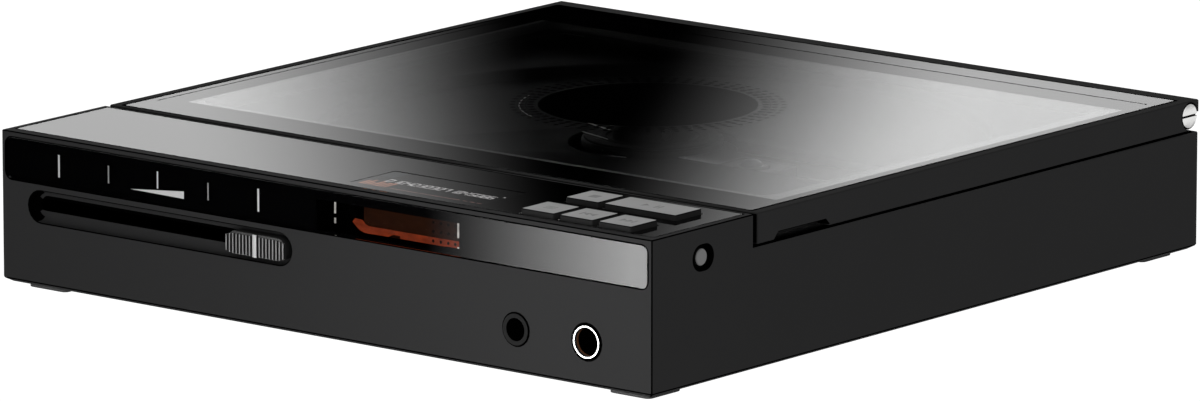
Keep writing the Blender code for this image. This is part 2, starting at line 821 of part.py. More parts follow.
def make_deck():
    """The deck plate, with the round disc well and the opening for the hub and the pickup."""
    half = HALF_WIDTH - WALL - GAP
    deck = box(
        "deck_plate",
        (-half, BAR_BACK + GAP, LEDGE_TOP + GAP),
        (half, BACK - WALL - GAP, RIM_TOP),
        BLACK_PLASTIC,
        radius=0.0006,
        segments=2,
    )
    cut(
        deck,
        turned(
            "disc_well",
            [
                (0, 0.010),
                (WELL_RADIUS + 0.0004, 0.010),
                (WELL_RADIUS + 0.0004, RIM_TOP - WELL_FLOOR + 0.0001),
                (WELL_RADIUS, RIM_TOP - WELL_FLOOR - 0.0004),
                (WELL_RADIUS, 0.0006),
                (WELL_RADIUS - 0.0006, 0.0),
                (0, 0.0),
            ],
            (0, DISC_Y, WELL_FLOOR),
            steps=WELL_STEPS,
        ),
        rod("hub_opening", 0.0155, (0, DISC_Y, 0.010), (0, DISC_Y, 0.030), steps=FINE_STEPS),
        box("pickup_slot", (0.0, DISC_Y - 0.0085, 0.010), (0.0672, DISC_Y + 0.0085, 0.0225), radius=0.003),
        box("left_bracket_notch", (-0.0760, 0.0740, 0.010), (-0.0655, 0.0800, 0.030)),
        box("right_bracket_notch", (0.0655, 0.0740, 0.010), (0.0760, 0.0800, 0.030)),
    )
    for x in (-0.045, 0.045):
        scoop = turned(
            f"finger_scoop_{'left' if x < 0 else 'right'}",
            [(0, 0.010), (0.0090, 0.010), (0.0090, 0.0012), (0.0075, 0.0), (0, 0.0)],
            (x, DISC_Y - 0.0480, WELL_FLOOR),
        )
        cut(deck, scoop)
    for name, x, y in damper_places():
        join(deck, rod("post_" + name, 0.0016, (x, y, 0.0134), (x, y, LEDGE_TOP + 0.0008), steps=SMALL_STEPS))
    return deck


def damper_places():
    return (
        ("chassis_damper_left", -0.0125, DISC_Y - 0.0334),
        ("chassis_damper_rear", -0.0125, DISC_Y + 0.0200),
        ("chassis_damper_right", 0.0640, DISC_Y + 0.0200),
    )


def make_traverse():
    """The drive's chassis, its rubber dampers, the two guide rods and both motors."""
    chassis = box(
        "traverse_chassis",
        (-0.0175, GEAR_Y - 0.0100, CHASSIS_LOW),
        (0.0695, DISC_Y + 0.0250, CHASSIS_HIGH),
        STEEL,
        radius=0.003,
    )
    cut(
        chassis,
        box("turret_slot", (0.0125, DISC_Y - 0.0080, 0.010), (0.0668, DISC_Y + 0.0080, 0.020), radius=0.002),
        rod("shaft_hole", 0.0030, (0, DISC_Y, 0.010), (0, DISC_Y, 0.020)),
    )
    for name, x, y in damper_places():
        cut(chassis, rod("ear_" + name, 0.0029, (x, y, 0.010), (x, y, 0.020)))
        turned(
            name,
            [
                (0.0019, 0.0014),
                (0.0036, 0.0014),
                (0.0040, 0.0003),
                (0.0026, 0.0003),
                (0.0026, -0.0013),
                (0.0040, -0.0013),
                (0.0036, -0.0024),
                (0.0019, -0.0024),
                (0.0019, 0.0014),
            ],
            (x, y, CHASSIS_HIGH),
            RUBBER,
            steps=SMALL_STEPS,
        )
    shelf_left = MOTOR_X - 0.0060
    shelf_front = GEAR_Y - 0.0072
    shelf = box("motor_shelf", (shelf_left, shelf_front, 0.0092), (MOTOR_X + 0.0050, GEAR_Y + 0.0050, 0.0100))
    wall = box("motor_wall", (shelf_left, shelf_front, 0.0094), (MOTOR_X + 0.0020, GEAR_Y - 0.0060, 0.0160))
    join(chassis, shelf, wall)
    boss_hole = rod("boss_hole", 0.0023, (MOTOR_X, GEAR_Y, 0.008), (MOTOR_X, GEAR_Y, 0.011), steps=SMALL_STEPS)
    cut(chassis, boss_hole)
    axle_top = (GEAR_X, GEAR_Y, CHASSIS_LOW + 0.0005)
    join(chassis, rod("gear_axle", 0.0008, (GEAR_X, GEAR_Y, 0.0088), axle_top, steps=SMALL_STEPS))
    for name, y in (("front", DISC_Y - ROD_SPACING / 2), ("rear", DISC_Y + ROD_SPACING / 2)):
        rod(f"guide_rod_{name}", ROD_RADIUS, (0.0105, y, ROD_Z), (0.0693, y, ROD_Z), STEEL)
        for end, x in (("inner", 0.0112), ("outer", 0.0688)):
            clamp = box(
                f"rod_clamp_{name}_{end}",
                (x - 0.0006, y - 0.0026, ROD_Z - 0.0026),
                (x + 0.0006, y + 0.0026, CHASSIS_LOW + 0.0005),
            )
            bore = rod(
                f"clamp_bore_{name}_{end}",
                ROD_RADIUS + 0.00015,
                (x - 0.005, y, ROD_Z),
                (x + 0.005, y, ROD_Z),
            )
            join(chassis, clamp)
            cut(chassis, bore)
    turned(
        "spindle_motor",
        [
            (0, 0.0152),
            (0.0020, 0.0152),
            (0.0020, 0.0150),
            (0.0088, 0.0150),
            (0.0090, 0.0147),
            (0.0090, 0.0096),
            (0.0086, 0.0090),
            (0, 0.0090),
        ],
        (0, DISC_Y, 0),
        STEEL,
    )
    turned(
        "sled_motor",
        [
            (0, 0.0125),
            (0.0004, 0.0125),
            (0.0004, 0.0096),
            (0.0020, 0.0096),
            (0.0020, 0.0090),
            (0.0058, 0.0090),
            (0.0060, 0.0087),
            (0.0060, 0.0056),
            (0, 0.0056),
        ],
        (MOTOR_X, GEAR_Y, 0),
        STEEL,
    )
    return chassis


def make_spindle():
    """The turntable: a platform with a rubber ring, and a spigot whose three balls grip the disc."""
    shaft_radius = 0.0008
    hub = turned(
        "turntable_hub",
        [(0, HUB_TOP), (0.0050, HUB_TOP), (0.0064, HUB_TOP - 0.0004), (HUB_SPIGOT_RADIUS, HUB_TOP - 0.0016),
         (HUB_SPIGOT_RADIUS, HUB_PLATFORM_TOP), (HUB_PLATFORM_RADIUS - 0.0003, HUB_PLATFORM_TOP),
         (HUB_PLATFORM_RADIUS, HUB_PLATFORM_TOP - 0.0003), (HUB_PLATFORM_RADIUS, HUB_PLATFORM_TOP - 0.0012),
         (0.0050, 0.0195), (0.0050, 0.0180), (shaft_radius, 0.0180), (shaft_radius, 0.0156), (0, 0.0156)],
        (0, DISC_Y, 0),
        BLACK_PLASTIC,
        steps=FINE_STEPS,
    )
    for step in range(3):
        turn = math.radians(90 + 120 * step)
        bm = bmesh.new()
        bmesh.ops.create_uvsphere(bm, u_segments=10, v_segments=6, radius=0.0011)
        reach = HUB_SPIGOT_RADIUS - 0.0006
        place = (reach * math.cos(turn), DISC_Y + reach * math.sin(turn), HUB_TOP - 0.0018)
        join(hub, add_object(f"chuck_ball_{step}", bm, place, STEEL))
    ring = turned(
        "hub_ring",
        [(0.0085, 0.0004), (0.0125, 0.0004), (0.0125, 0.00005), (0.0085, 0.00005), (0.0085, 0.0004)],
        (0, DISC_Y, HUB_PLATFORM_TOP),
        RUBBER,
        steps=FINE_STEPS,
    )
    return carry("spindle_axis", (0, DISC_Y, HUB_PLATFORM_TOP), hub, ring)


def involute(angle):
    return math.tan(angle) - angle


def gear_outline(teeth, first_tooth):
    """A spur gear's outline, with involute flanks from its base circle to its tip."""
    pitch = GEAR_MODULE * teeth / 2
    base = pitch * math.cos(PRESSURE_ANGLE)
    root = pitch - 1.05 * GEAR_MODULE
    tip = pitch + 0.8 * GEAR_MODULE
    half_tooth = math.pi / (2 * teeth) - TOOTH_THINNING / (2 * pitch)

    def half_angle(radius):
        if radius <= base:
            return half_tooth + involute(PRESSURE_ANGLE)
        return half_tooth + involute(PRESSURE_ANGLE) - involute(math.acos(base / radius))

    flank = [root, max(base, root + 0.0001)]
    for step in range(1, 3):
        flank.append(flank[1] + (tip - flank[1]) * step / 2)
    points = []
    for tooth in range(teeth):
        middle = first_tooth + 2 * math.pi * tooth / teeth
        for radius in flank:
            turn = middle - half_angle(radius)
            points.append((radius * math.cos(turn), radius * math.sin(turn)))
        for radius in reversed(flank):
            turn = middle + half_angle(radius)
            points.append((radius * math.cos(turn), radius * math.sin(turn)))
    return points


def rack_outline(left, right, back, arm_left, arm_right, arm_back):
    """A rack and the arm behind it. Its teeth point to the front, and a space is centred on the gear."""
    pitch = math.pi * GEAR_MODULE
    addendum = 0.8 * GEAR_MODULE
    dedendum = 1.05 * GEAR_MODULE
    slope = math.tan(PRESSURE_ANGLE)
    half = pitch / 4 - TOOTH_THINNING / 2
    points = [(right, back), (arm_right, back), (arm_right, arm_back), (arm_left, arm_back), (arm_left, back)]
    points.append((left, back))
    first = math.ceil((left - GEAR_X) / pitch - 0.5)
    last = math.floor((right - GEAR_X) / pitch - 0.5)
    root_y = RACK_LINE_Y + dedendum
    tip_y = RACK_LINE_Y - addendum
    points.append((left, root_y))
    for tooth in range(first + 1, last):
        middle = GEAR_X + (tooth + 0.5) * pitch
        root_half = half + dedendum * slope
        tip_half = half - addendum * slope
        points.append((middle - root_half, root_y))
        points.append((middle - tip_half, tip_y))
        points.append((middle + tip_half, tip_y))
        points.append((middle + root_half, root_y))
    points.append((right, root_y))
    return points


def make_gears():
    """The motor's pinion, and the reduction gear that drives the rack."""
    wheel_low = 0.0104
    wheel_high = 0.0122
    pinion_high = 0.0152
    place = (GEAR_X, GEAR_Y)
    half_tooth_turn = math.pi / PINION_TEETH
    outline = gear_outline(WHEEL_TEETH, math.pi)
    wheel = outline_plate("reduction_gear", outline, wheel_low, wheel_high, WHITE_PLASTIC, place)
    outline = gear_outline(PINION_TEETH, math.pi / 2)
    small = outline_plate("rack_pinion", outline, wheel_high - 0.0003, pinion_high, None, place)
    join(wheel, small)
    cut(wheel, rod("gear_bore", 0.00105, (*place, 0.005), (*place, 0.020), steps=SMALL_STEPS))
    carry("reduction_gear_axis", (*place, wheel_low), wheel)
    pinion = outline_plate(
        "motor_pinion",
        gear_outline(PINION_TEETH, half_tooth_turn),
        wheel_low,
        wheel_high,
        WHITE_PLASTIC,
        (MOTOR_X, GEAR_Y),
    )
    start = (MOTOR_X, GEAR_Y, 0.005)
    cut(pinion, rod("pinion_bore", 0.00060, start, (MOTOR_X, GEAR_Y, 0.020), steps=SMALL_STEPS))
    carry("motor_pinion_axis", (MOTOR_X, GEAR_Y, wheel_low), pinion)


def make_sled():
    """The pickup sled on its rods, with the lens on top and the rack on its front arm."""
    half_length = 0.0088
    half_width = 0.0143
    sled_low = 0.0096
    sled_high = 0.0151
    sled = box(
        "pickup_sled",
        (LENS_REST_X - half_length, DISC_Y - half_width, sled_low),
        (LENS_REST_X + half_length, DISC_Y + half_width, sled_high),
        BLACK_PLASTIC,
        radius=0.0012,
        segments=2,
    )
    turret = box(
        "lens_turret",
        (LENS_REST_X - 0.0062, DISC_Y - 0.0060, sled_high - 0.0008),
        (LENS_REST_X + 0.0062, DISC_Y + 0.0060, 0.0190),
        radius=0.0010,
    )
    join(sled, turret)
    for side in (-1, 1):
        y = DISC_Y + side * ROD_SPACING / 2
        bore = rod(
            f"sled_bore_{side}",
            ROD_RADIUS + 0.0002,
            (LENS_REST_X - 0.020, y, ROD_Z),
            (LENS_REST_X + 0.020, y, ROD_Z),
        )
        relief = box(
            f"sled_relief_{side}",
            (LENS_REST_X - 0.0045, y - 0.0030, sled_low - 0.001),
            (LENS_REST_X + 0.0045, y + 0.0030, sled_high - 0.0014),
        )
        cut(sled, bore, relief)
    cut(sled, rod("lens_seat", 0.0034, (LENS_REST_X, DISC_Y, 0.0182), (LENS_REST_X, DISC_Y, 0.0220)))
    lens = turned(
        "objective_lens",
        [
            (0, 0.0204),
            (0.0009, 0.0202),
            (0.0017, 0.0196),
            (0.0020, 0.0193),
            (0.0031, 0.0193),
            (0.0031, 0.0185),
            (0, 0.0185),
        ],
        (LENS_REST_X, DISC_Y, 0),
        LENS_BLUE,
    )
    rack_left = GEAR_X - SLED_TRAVEL - 0.0045
    rack_right = GEAR_X + 0.0035
    outline = rack_outline(
        rack_left,
        rack_right,
        -0.0062,
        LENS_REST_X - 0.0075,
        LENS_REST_X + 0.0075,
        DISC_Y - half_width - GAP,
    )
    rack = outline_plate("sled_rack", outline, 0.0129, 0.0147, WHITE_PLASTIC)
    return carry("sled_axis", (LENS_REST_X, DISC_Y, ROD_Z), sled, lens, rack)


def make_electronics():
    """The main board, the battery, and the sockets in the back wall."""
    board_low = FOOT_HEIGHT + COVER_THICKNESS + GAP
    board_high = (0.0620, 0.0738, board_low + 0.0012)
    board = box("main_board", (-0.0620, -0.0715, board_low), board_high, BOARD_GREEN)
    parts = (
        ("decoder_chip", -0.012, -0.036, 0.012, 0.012, 0.0012),
        ("servo_chip", 0.045, 0.040, 0.010, 0.010, 0.0012),
        ("memory_chip", 0.046, -0.030, 0.012, 0.006, 0.0012),
        ("output_coil", 0.022, -0.036, 0.006, 0.006, 0.0018),
    )
    for name, x, y, width, depth, height in parts:
        chip = box(
            name,
            (x - width / 2, y - depth / 2, board_low + 0.0010),
            (x + width / 2, y + depth / 2, board_low + 0.0012 + height),
        )
        join(board, chip)
    cell_low = (-0.0620, -0.0400, 0.0044)
    cell = box("battery", cell_low, (-0.0215, 0.0600, 0.0124), FOIL, radius=0.0015, segments=2)
    soft = cell.modifiers.new("soft_edges", "BEVEL")
    soft.width = 0.0008
    soft.segments = 1
    soft.limit_method = "ANGLE"
    soft.angle_limit = math.radians(60)
    usb_low = (-0.0445, BACK - 0.0085, 0.0046)
    usb = box("usb_socket", usb_low, (-0.0355, BACK - 0.0002, 0.0078), STEEL, radius=0.0015, axis=1)
    mouth_low = (-0.0441, BACK - 0.0070, 0.0050)
    mouth = box("usb_mouth", mouth_low, (-0.0359, BACK + 0.005, 0.0074), radius=0.0011, axis=1)
    tongue = box("usb_tongue", (-0.0433, BACK - 0.0075, 0.0059), (-0.0367, BACK - 0.0016, 0.0065))
    cut(usb, mouth)
    join(usb, tongue)
    start = (-0.0560, BACK - 0.0001, 0.0078)
    line_out = rod("line_out_jack", 0.0030, start, (-0.0560, BACK - 0.0055, 0.0078), BLACK_PLASTIC)
    body = box("line_out_body", (-0.0595, BACK - 0.0090, 0.0044), (-0.0525, BACK - 0.0050, 0.0112))
    join(line_out, body)
    start = (-0.0560, BACK + 0.005, 0.0078)
    cut(line_out, rod("line_out_bore", 0.0018, start, (-0.0560, BACK - 0.0080, 0.0078)))
    return board


def make_lid():
    """The lid: a milled frame, hollow under its glass, with a finger notch on the right."""
    frame = box("lid_frame", (-HALF_WIDTH, LID_FRONT, LID_BOTTOM), (HALF_WIDTH, BACK, CASE_TOP), ANODISED)
    clear = 0.0002
    glass_low = CASE_TOP - GLASS_THICKNESS
    far = 0.010
    cut(
        frame,
        box(
            "glass_pocket",
            (-GLASS_HALF_WIDTH - clear, GLASS_FRONT - clear, glass_low - GAP),
            (GLASS_HALF_WIDTH + clear, GLASS_BACK + clear, CASE_TOP + far),
            radius=0.0004,
            segments=2,
        ),
        box(
            "lid_hollow",
            (-LID_OPENING_HALF_WIDTH, LID_OPENING_FRONT, LID_BOTTOM - far),
            (LID_OPENING_HALF_WIDTH, LID_OPENING_BACK, CASE_TOP + far),
            radius=0.002,
        ),
        lid_heel_cut(),
        finger_notch(),
    )
    for side in (-1, 1):
        inner = side * (KNUCKLE_INNER - GAP)
        outer = side * (KNUCKLE_OUTER + GAP)
        knuckle_room = box(
            f"knuckle_room_{side}",
            (min(inner, outer), 0.0744, LID_BOTTOM - far),
            (max(inner, outer), BACK + far, 0.0282),
        )
        head = rod(
            f"screw_head_room_{side}",
            0.00260,
            (side * 0.07355, HINGE_Y, HINGE_Z),
            (side * 0.0850, HINGE_Y, HINGE_Z),
            steps=FINE_STEPS,
        )
        shank = rod(
            f"screw_shank_room_{side}",
            0.00115,
            (side * 0.0700, HINGE_Y, HINGE_Z),
            (side * 0.0760, HINGE_Y, HINGE_Z),
        )
        cut(frame, knuckle_room, head, shank)
    glass = box(
        "lid_glass",
        (-GLASS_HALF_WIDTH, GLASS_FRONT, glass_low),
        (GLASS_HALF_WIDTH, GLASS_BACK, CASE_TOP),
        BLACK_GLASS,
        radius=0.0003,
        segments=2,
    )
    retainer_high = (0.0697, 0.0717, glass_low - GAP)
    retainer = box("glass_retainer", (-0.0697, -0.0442, 0.0258), retainer_high, BLACK_PLASTIC, radius=0.0018)
    cut(retainer, box("retainer_window", (-0.0660, -0.0360, 0.020), (0.0660, 0.0650, 0.030), radius=0.003))
    carry("lid_axis", (0, HINGE_Y, HINGE_Z), frame, glass, retainer)


def lid_heel_cut():
    """What leaves the lid's lower back edge round about the hinge axis, so that it can turn."""
    radius = BACK - HINGE_Y
    drop = HINGE_Z - LID_BOTTOM
    width = CASE_WIDTH + 0.010
    low = (-width / 2, HINGE_Y, HINGE_Z - drop - 0.003)
    heel = box("lid_heel_cut", low, (width / 2, BACK + 0.003, HINGE_Z))
    left = (-width, HINGE_Y, HINGE_Z)
    core = rod("lid_heel_core", radius, left, (width, HINGE_Y, HINGE_Z), steps=FINE_STEPS)
    return cut(heel, core)


def finger_notch():
    """The notch in the lid's right lower edge, with sloped ends."""
    slope = 0.0010
    points = [
        (NOTCH_FRONT - 0.0002, LID_BOTTOM - 0.001),
        (NOTCH_BACK + 0.0002, LID_BOTTOM - 0.001),
        (NOTCH_BACK, NOTCH_TOP - slope),
        (NOTCH_BACK - slope, NOTCH_TOP),
        (NOTCH_FRONT + slope, NOTCH_TOP),
        (NOTCH_FRONT, NOTCH_TOP - slope),
    ]
    notch = outline_plate("finger_notch", points, 0.0, 0.010)
    notch.matrix_world = Matrix(((0, 0, 1, HALF_WIDTH + 0.0025), (1, 0, 0, 0), (0, 1, 0, 0), (0, 0, 0, 1)))
    return notch


def make_hinge():
    """On each side a knuckle that stands on the case's ledge, and the screw that the lid turns on."""
    for side, name in ((-1, "left"), (1, "right")):
        inner = side * KNUCKLE_INNER
        outer = side * KNUCKLE_OUTER
        low_x = min(inner, outer)
        high_x = max(inner, outer)
        knuckle = box(
            f"hinge_knuckle_{name}",
            (low_x, 0.07485, LEDGE_TOP + GAP),
            (high_x, BACK - WALL - GAP, 0.0255),
            STEEL,
        )
        start = (low_x, HINGE_Y, HINGE_Z)
        boss = rod(f"knuckle_boss_{name}", KNUCKLE_RADIUS, start, (high_x, HINGE_Y, HINGE_Z))
        web_high = (high_x, HINGE_Y + 0.0014, HINGE_Z - 0.0004)
        web = box(f"knuckle_web_{name}", (low_x, 0.07485, RIM_TOP + GAP), web_high)
        join(knuckle, boss, web)
        bore = rod(
            f"knuckle_bore_{name}",
            0.00105,
            (side * (KNUCKLE_INNER + 0.0012), HINGE_Y, HINGE_Z),
            (side * 0.080, HINGE_Y, HINGE_Z),
        )
        cut(knuckle, bore)
        reach = HALF_WIDTH - 0.0001
        screw = turned(
            f"hinge_screw_{name}",
            [(0, reach), (0.0021, reach), (0.0024, reach - 0.0002), (0.0024, 0.07385), (0.0009, 0.07385),
             (0.0009, 0.0676), (0, 0.0676)],
            (0, HINGE_Y, HINGE_Z),
            STEEL,
            direction=(side, 0, 0),
        )
        slot = box(
            f"screw_slot_{name}",
            (min(side * (reach - 0.0005), side * 0.080), HINGE_Y - 0.0040, HINGE_Z - 0.0003),
            (max(side * (reach - 0.0005), side * 0.080), HINGE_Y + 0.0040, HINGE_Z + 0.0003),
        )
        cut(screw, slot)


make_base_housing()
make_bottom()
make_control_bar()
make_front_window()
make_volume_fader()
make_jacks()
make_power_button()
make_deck()
make_traverse()
make_spindle()
make_gears()
make_sled()
make_electronics()
make_lid()
make_hinge()
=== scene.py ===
"""The looks of the portable CD player: its finishes, printed glass, lit tube and studio."""

import json
import math

import bmesh
import bpy
from mathutils import Matrix, Vector

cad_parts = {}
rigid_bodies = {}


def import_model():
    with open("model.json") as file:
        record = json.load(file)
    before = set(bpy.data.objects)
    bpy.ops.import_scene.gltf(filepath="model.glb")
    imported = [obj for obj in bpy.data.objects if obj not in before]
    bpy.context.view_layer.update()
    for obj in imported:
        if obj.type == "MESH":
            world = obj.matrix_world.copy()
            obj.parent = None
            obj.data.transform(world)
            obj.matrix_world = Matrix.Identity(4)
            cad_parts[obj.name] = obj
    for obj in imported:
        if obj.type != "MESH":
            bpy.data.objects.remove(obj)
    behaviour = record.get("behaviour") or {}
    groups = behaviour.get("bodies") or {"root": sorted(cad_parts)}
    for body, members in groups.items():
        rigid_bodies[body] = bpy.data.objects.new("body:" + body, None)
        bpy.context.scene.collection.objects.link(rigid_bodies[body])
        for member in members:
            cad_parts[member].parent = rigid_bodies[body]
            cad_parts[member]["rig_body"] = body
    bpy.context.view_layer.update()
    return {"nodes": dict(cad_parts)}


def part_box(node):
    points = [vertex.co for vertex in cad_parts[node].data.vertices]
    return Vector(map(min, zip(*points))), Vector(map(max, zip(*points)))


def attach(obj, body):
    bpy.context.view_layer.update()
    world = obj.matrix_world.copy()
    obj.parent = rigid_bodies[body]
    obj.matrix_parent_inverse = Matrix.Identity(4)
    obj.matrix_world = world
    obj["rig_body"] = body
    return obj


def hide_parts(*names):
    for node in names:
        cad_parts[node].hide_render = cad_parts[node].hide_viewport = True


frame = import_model()
NODES = frame["nodes"]

# Real places that the frame gives
CASE_LOW, CASE_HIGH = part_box("base_housing")
LID_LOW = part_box("lid_frame")[0]
PANE_LOW, PANE_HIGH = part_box("lid_glass")
PANEL_LOW, PANEL_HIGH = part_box("control_panel")
WINDOW_LOW, WINDOW_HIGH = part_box("front_window")
WELL_CENTRE = Vector((0.0, 0.0139))
MM = 0.001

# Print on the lid's glass
LID_CLEAR_LOW = (-66.2 * MM, -38.4 * MM)
LID_CLEAR_HIGH = (69.9 * MM, 62.6 * MM)
LID_DISC_CENTRE = (0.0, 12.6 * MM)
LID_DISC_RADIUS = 20.0 * MM
LID_DOT_RINGS = ((21.4 * MM, 0.66 * MM), (23.1 * MM, 0.58 * MM), (24.7 * MM, 0.50 * MM))
LID_CIRCLE = (22.15 * MM, 22.30 * MM)
LID_DOTS_IN_RING = 60
SCREEN_LOW = (3.1 * MM, -74.0 * MM)
SCREEN_HIGH = (33.0 * MM, -61.8 * MM)
TUBE_CLEAR_LOW = (-1.2 * MM, 20.4 * MM)
TUBE_CLEAR_HIGH = (31.9 * MM, 25.9 * MM)
TUBE_WORKS_SHIFT = 1.03 * MM
GLASS_IOR = 1.5

# How far each pane's sides stand out from the CAD's, along x, y and z. Below 0 they are drawn in.
PANE_GROWTH = {
    "lid_glass": (-0.2, -0.2, 0.0),
    "control_panel": (0.0, 0.0, 0.0),
    "front_window": (0.1, 0.0, 0.17),
}

# Camera: a long lens, from the front right and a little above
CAMERA_PLACE = Vector((1.20056, -1.47130, 0.41406))
CAMERA_HEADING = Vector((-0.61873, 0.75826, -0.20547))
CAMERA_LENS = 321.97
CAMERA_SHIFT = (-0.003483, -0.010962)

# Studio
WORLD_GREY = 0.42
BAND_LEAN_LEFT = 0.25
BAND_LEAN_RIGHT = 0.55
FRONT_CARD_BRIGHTNESS = 7.65


# Shader nodes


def calculate(tree, operation, *values):
    """A Math node over sockets and numbers, and its result."""
    node = tree.nodes.new("ShaderNodeMath")
    node.operation = operation
    for socket, value in zip(node.inputs, values):
        if isinstance(value, bpy.types.NodeSocket):
            tree.links.new(value, socket)
        else:
            socket.default_value = value
    return node.outputs[0]


def object_place(tree):
    """The surface's own x, y and z, which move with the piece."""
    place = tree.nodes.new("ShaderNodeTexCoord")
    parts = tree.nodes.new("ShaderNodeSeparateXYZ")
    tree.links.new(place.outputs["Object"], parts.inputs[0])
    return parts.outputs[0], parts.outputs[1], parts.outputs[2]


def noise(tree, size, detail=3.0, stretch=(1.0, 1.0, 1.0)):
    """Noise with grains of a real size, longer along an axis whose stretch is above 1."""
    place = tree.nodes.new("ShaderNodeTexCoord")
    scale = tree.nodes.new("ShaderNodeMapping")
    scale.inputs["Scale"].default_value = [1.0 / (size * part) for part in stretch]
    tree.links.new(place.outputs["Object"], scale.inputs["Vector"])
    made = tree.nodes.new("ShaderNodeTexNoise")
    made.inputs["Scale"].default_value = 1.0
    made.inputs["Detail"].default_value = detail
    tree.links.new(scale.outputs["Vector"], made.inputs["Vector"])
    return made.outputs[0]


def between(tree, factor, low, high):
    """A value that goes from low to high as the factor goes from 0.3 to 0.7, where noise mostly lies."""
    node = tree.nodes.new("ShaderNodeMapRange")
    tree.links.new(factor, node.inputs["Value"])
    node.inputs["From Min"].default_value = 0.3
    node.inputs["From Max"].default_value = 0.7
    node.inputs["To Min"].default_value = low
    node.inputs["To Max"].default_value = high
    return node.outputs[0]


def mixed(tree, factor, first, second):
    """A colour between two, by a factor from 0 to 1."""
    node = tree.nodes.new("ShaderNodeMix")
    node.data_type = "RGBA"
    tree.links.new(factor, node.inputs["Factor"])
    colours = [socket for socket in node.inputs if socket.type == "RGBA"]
    for socket, colour in zip(colours, (first, second)):
        if isinstance(colour, bpy.types.NodeSocket):
            tree.links.new(colour, socket)
        else:
            socket.default_value = (*colour, 1.0)
    return [socket for socket in node.outputs if socket.type == "RGBA"][0]


def relief(tree, shader, height, distance):
    """Bumps the surface by a height field, whose full swing is a real distance."""
    bump = tree.nodes.new("ShaderNodeBump")
    bump.inputs["Strength"].default_value = 1.0
    bump.inputs["Distance"].default_value = distance
    tree.links.new(height, bump.inputs["Height"])
    tree.links.new(bump.outputs[0], shader.inputs["Normal"])


def plain_material(name, roughness, **sockets):
    """A Principled material with sockets set by name, an underscore standing for a space."""
    made = bpy.data.materials.new(name)
    made.use_nodes = True
    shader = made.node_tree.nodes["Principled BSDF"]
    shader.inputs["Roughness"].default_value = roughness
    for key, value in sockets.items():
        shader.inputs[key.replace("_", " ")].default_value = value
    return made, made.node_tree, shader


def grained(name, colour, roughness, grain, depth, vary=0.08, swing=0.04, stretch=(1, 1, 1), **sockets):
    """A finish with a fine grain in its colour, its gloss and its relief."""
    made, tree, shader = plain_material(name, roughness, **sockets)
    fine = noise(tree, grain, stretch=stretch)
    broad = noise(tree, 0.02, detail=2.0)
    dark = tuple(part * (1 - vary) for part in colour)
    light = tuple(part * (1 + vary) for part in colour)
    fine_part = calculate(tree, "MULTIPLY", fine, 0.6)
    broad_part = calculate(tree, "MULTIPLY", broad, 0.4)
    both = calculate(tree, "ADD", fine_part, broad_part)
    tree.links.new(mixed(tree, between(tree, both, 0.0, 1.0), dark, light), shader.inputs["Base Color"])
    tree.links.new(between(tree, broad, roughness - swing, roughness + swing), shader.inputs["Roughness"])
    if depth:
        relief(tree, shader, fine, depth)
    return made


def inside(tree, value, low, high):
    above = calculate(tree, "GREATER_THAN", value, low)
    below = calculate(tree, "LESS_THAN", value, high)
    return calculate(tree, "MULTIPLY", above, below)


def rectangle(tree, x, y, low, high):
    return calculate(tree, "MULTIPLY", inside(tree, x, low[0], high[0]), inside(tree, y, low[1], high[1]))


def without(tree, area, hole):
    return calculate(tree, "MULTIPLY", area, calculate(tree, "SUBTRACT", 1.0, hole))


def lid_clear_area(tree, x, y):
    """1 where the lid's glass is clear: inside its border, off its centre disc and its rings of dots."""
    clear = rectangle(tree, x, y, LID_CLEAR_LOW, LID_CLEAR_HIGH)
    away_x = calculate(tree, "SUBTRACT", x, LID_DISC_CENTRE[0])
    away_y = calculate(tree, "SUBTRACT", y, LID_DISC_CENTRE[1])
    squares = calculate(
        tree, "ADD", calculate(tree, "MULTIPLY", away_x, away_x), calculate(tree, "MULTIPLY", away_y, away_y)
    )
    radius = calculate(tree, "SQRT", squares)
    clear = without(tree, clear, calculate(tree, "LESS_THAN", radius, LID_DISC_RADIUS))
    clear = without(tree, clear, inside(tree, radius, *LID_CIRCLE))
    turn = calculate(tree, "ARCTAN2", away_y, away_x)
    step = 2 * math.pi / LID_DOTS_IN_RING
    share = calculate(tree, "SUBTRACT", calculate(tree, "FRACT", calculate(tree, "DIVIDE", turn, step)), 0.5)
    along = calculate(tree, "MULTIPLY", calculate(tree, "MULTIPLY", share, step), radius)
    for ring, dot in LID_DOT_RINGS:
        across = calculate(tree, "SUBTRACT", radius, ring)
        reach = calculate(
            tree,
            "ADD",
            calculate(tree, "MULTIPLY", along, along),
            calculate(tree, "MULTIPLY", across, across),
        )
        clear = without(tree, clear, calculate(tree, "LESS_THAN", reach, dot * dot))
    return clear


def display_clear_area(tree, x, y):
    return rectangle(tree, x, y, SCREEN_LOW, SCREEN_HIGH)


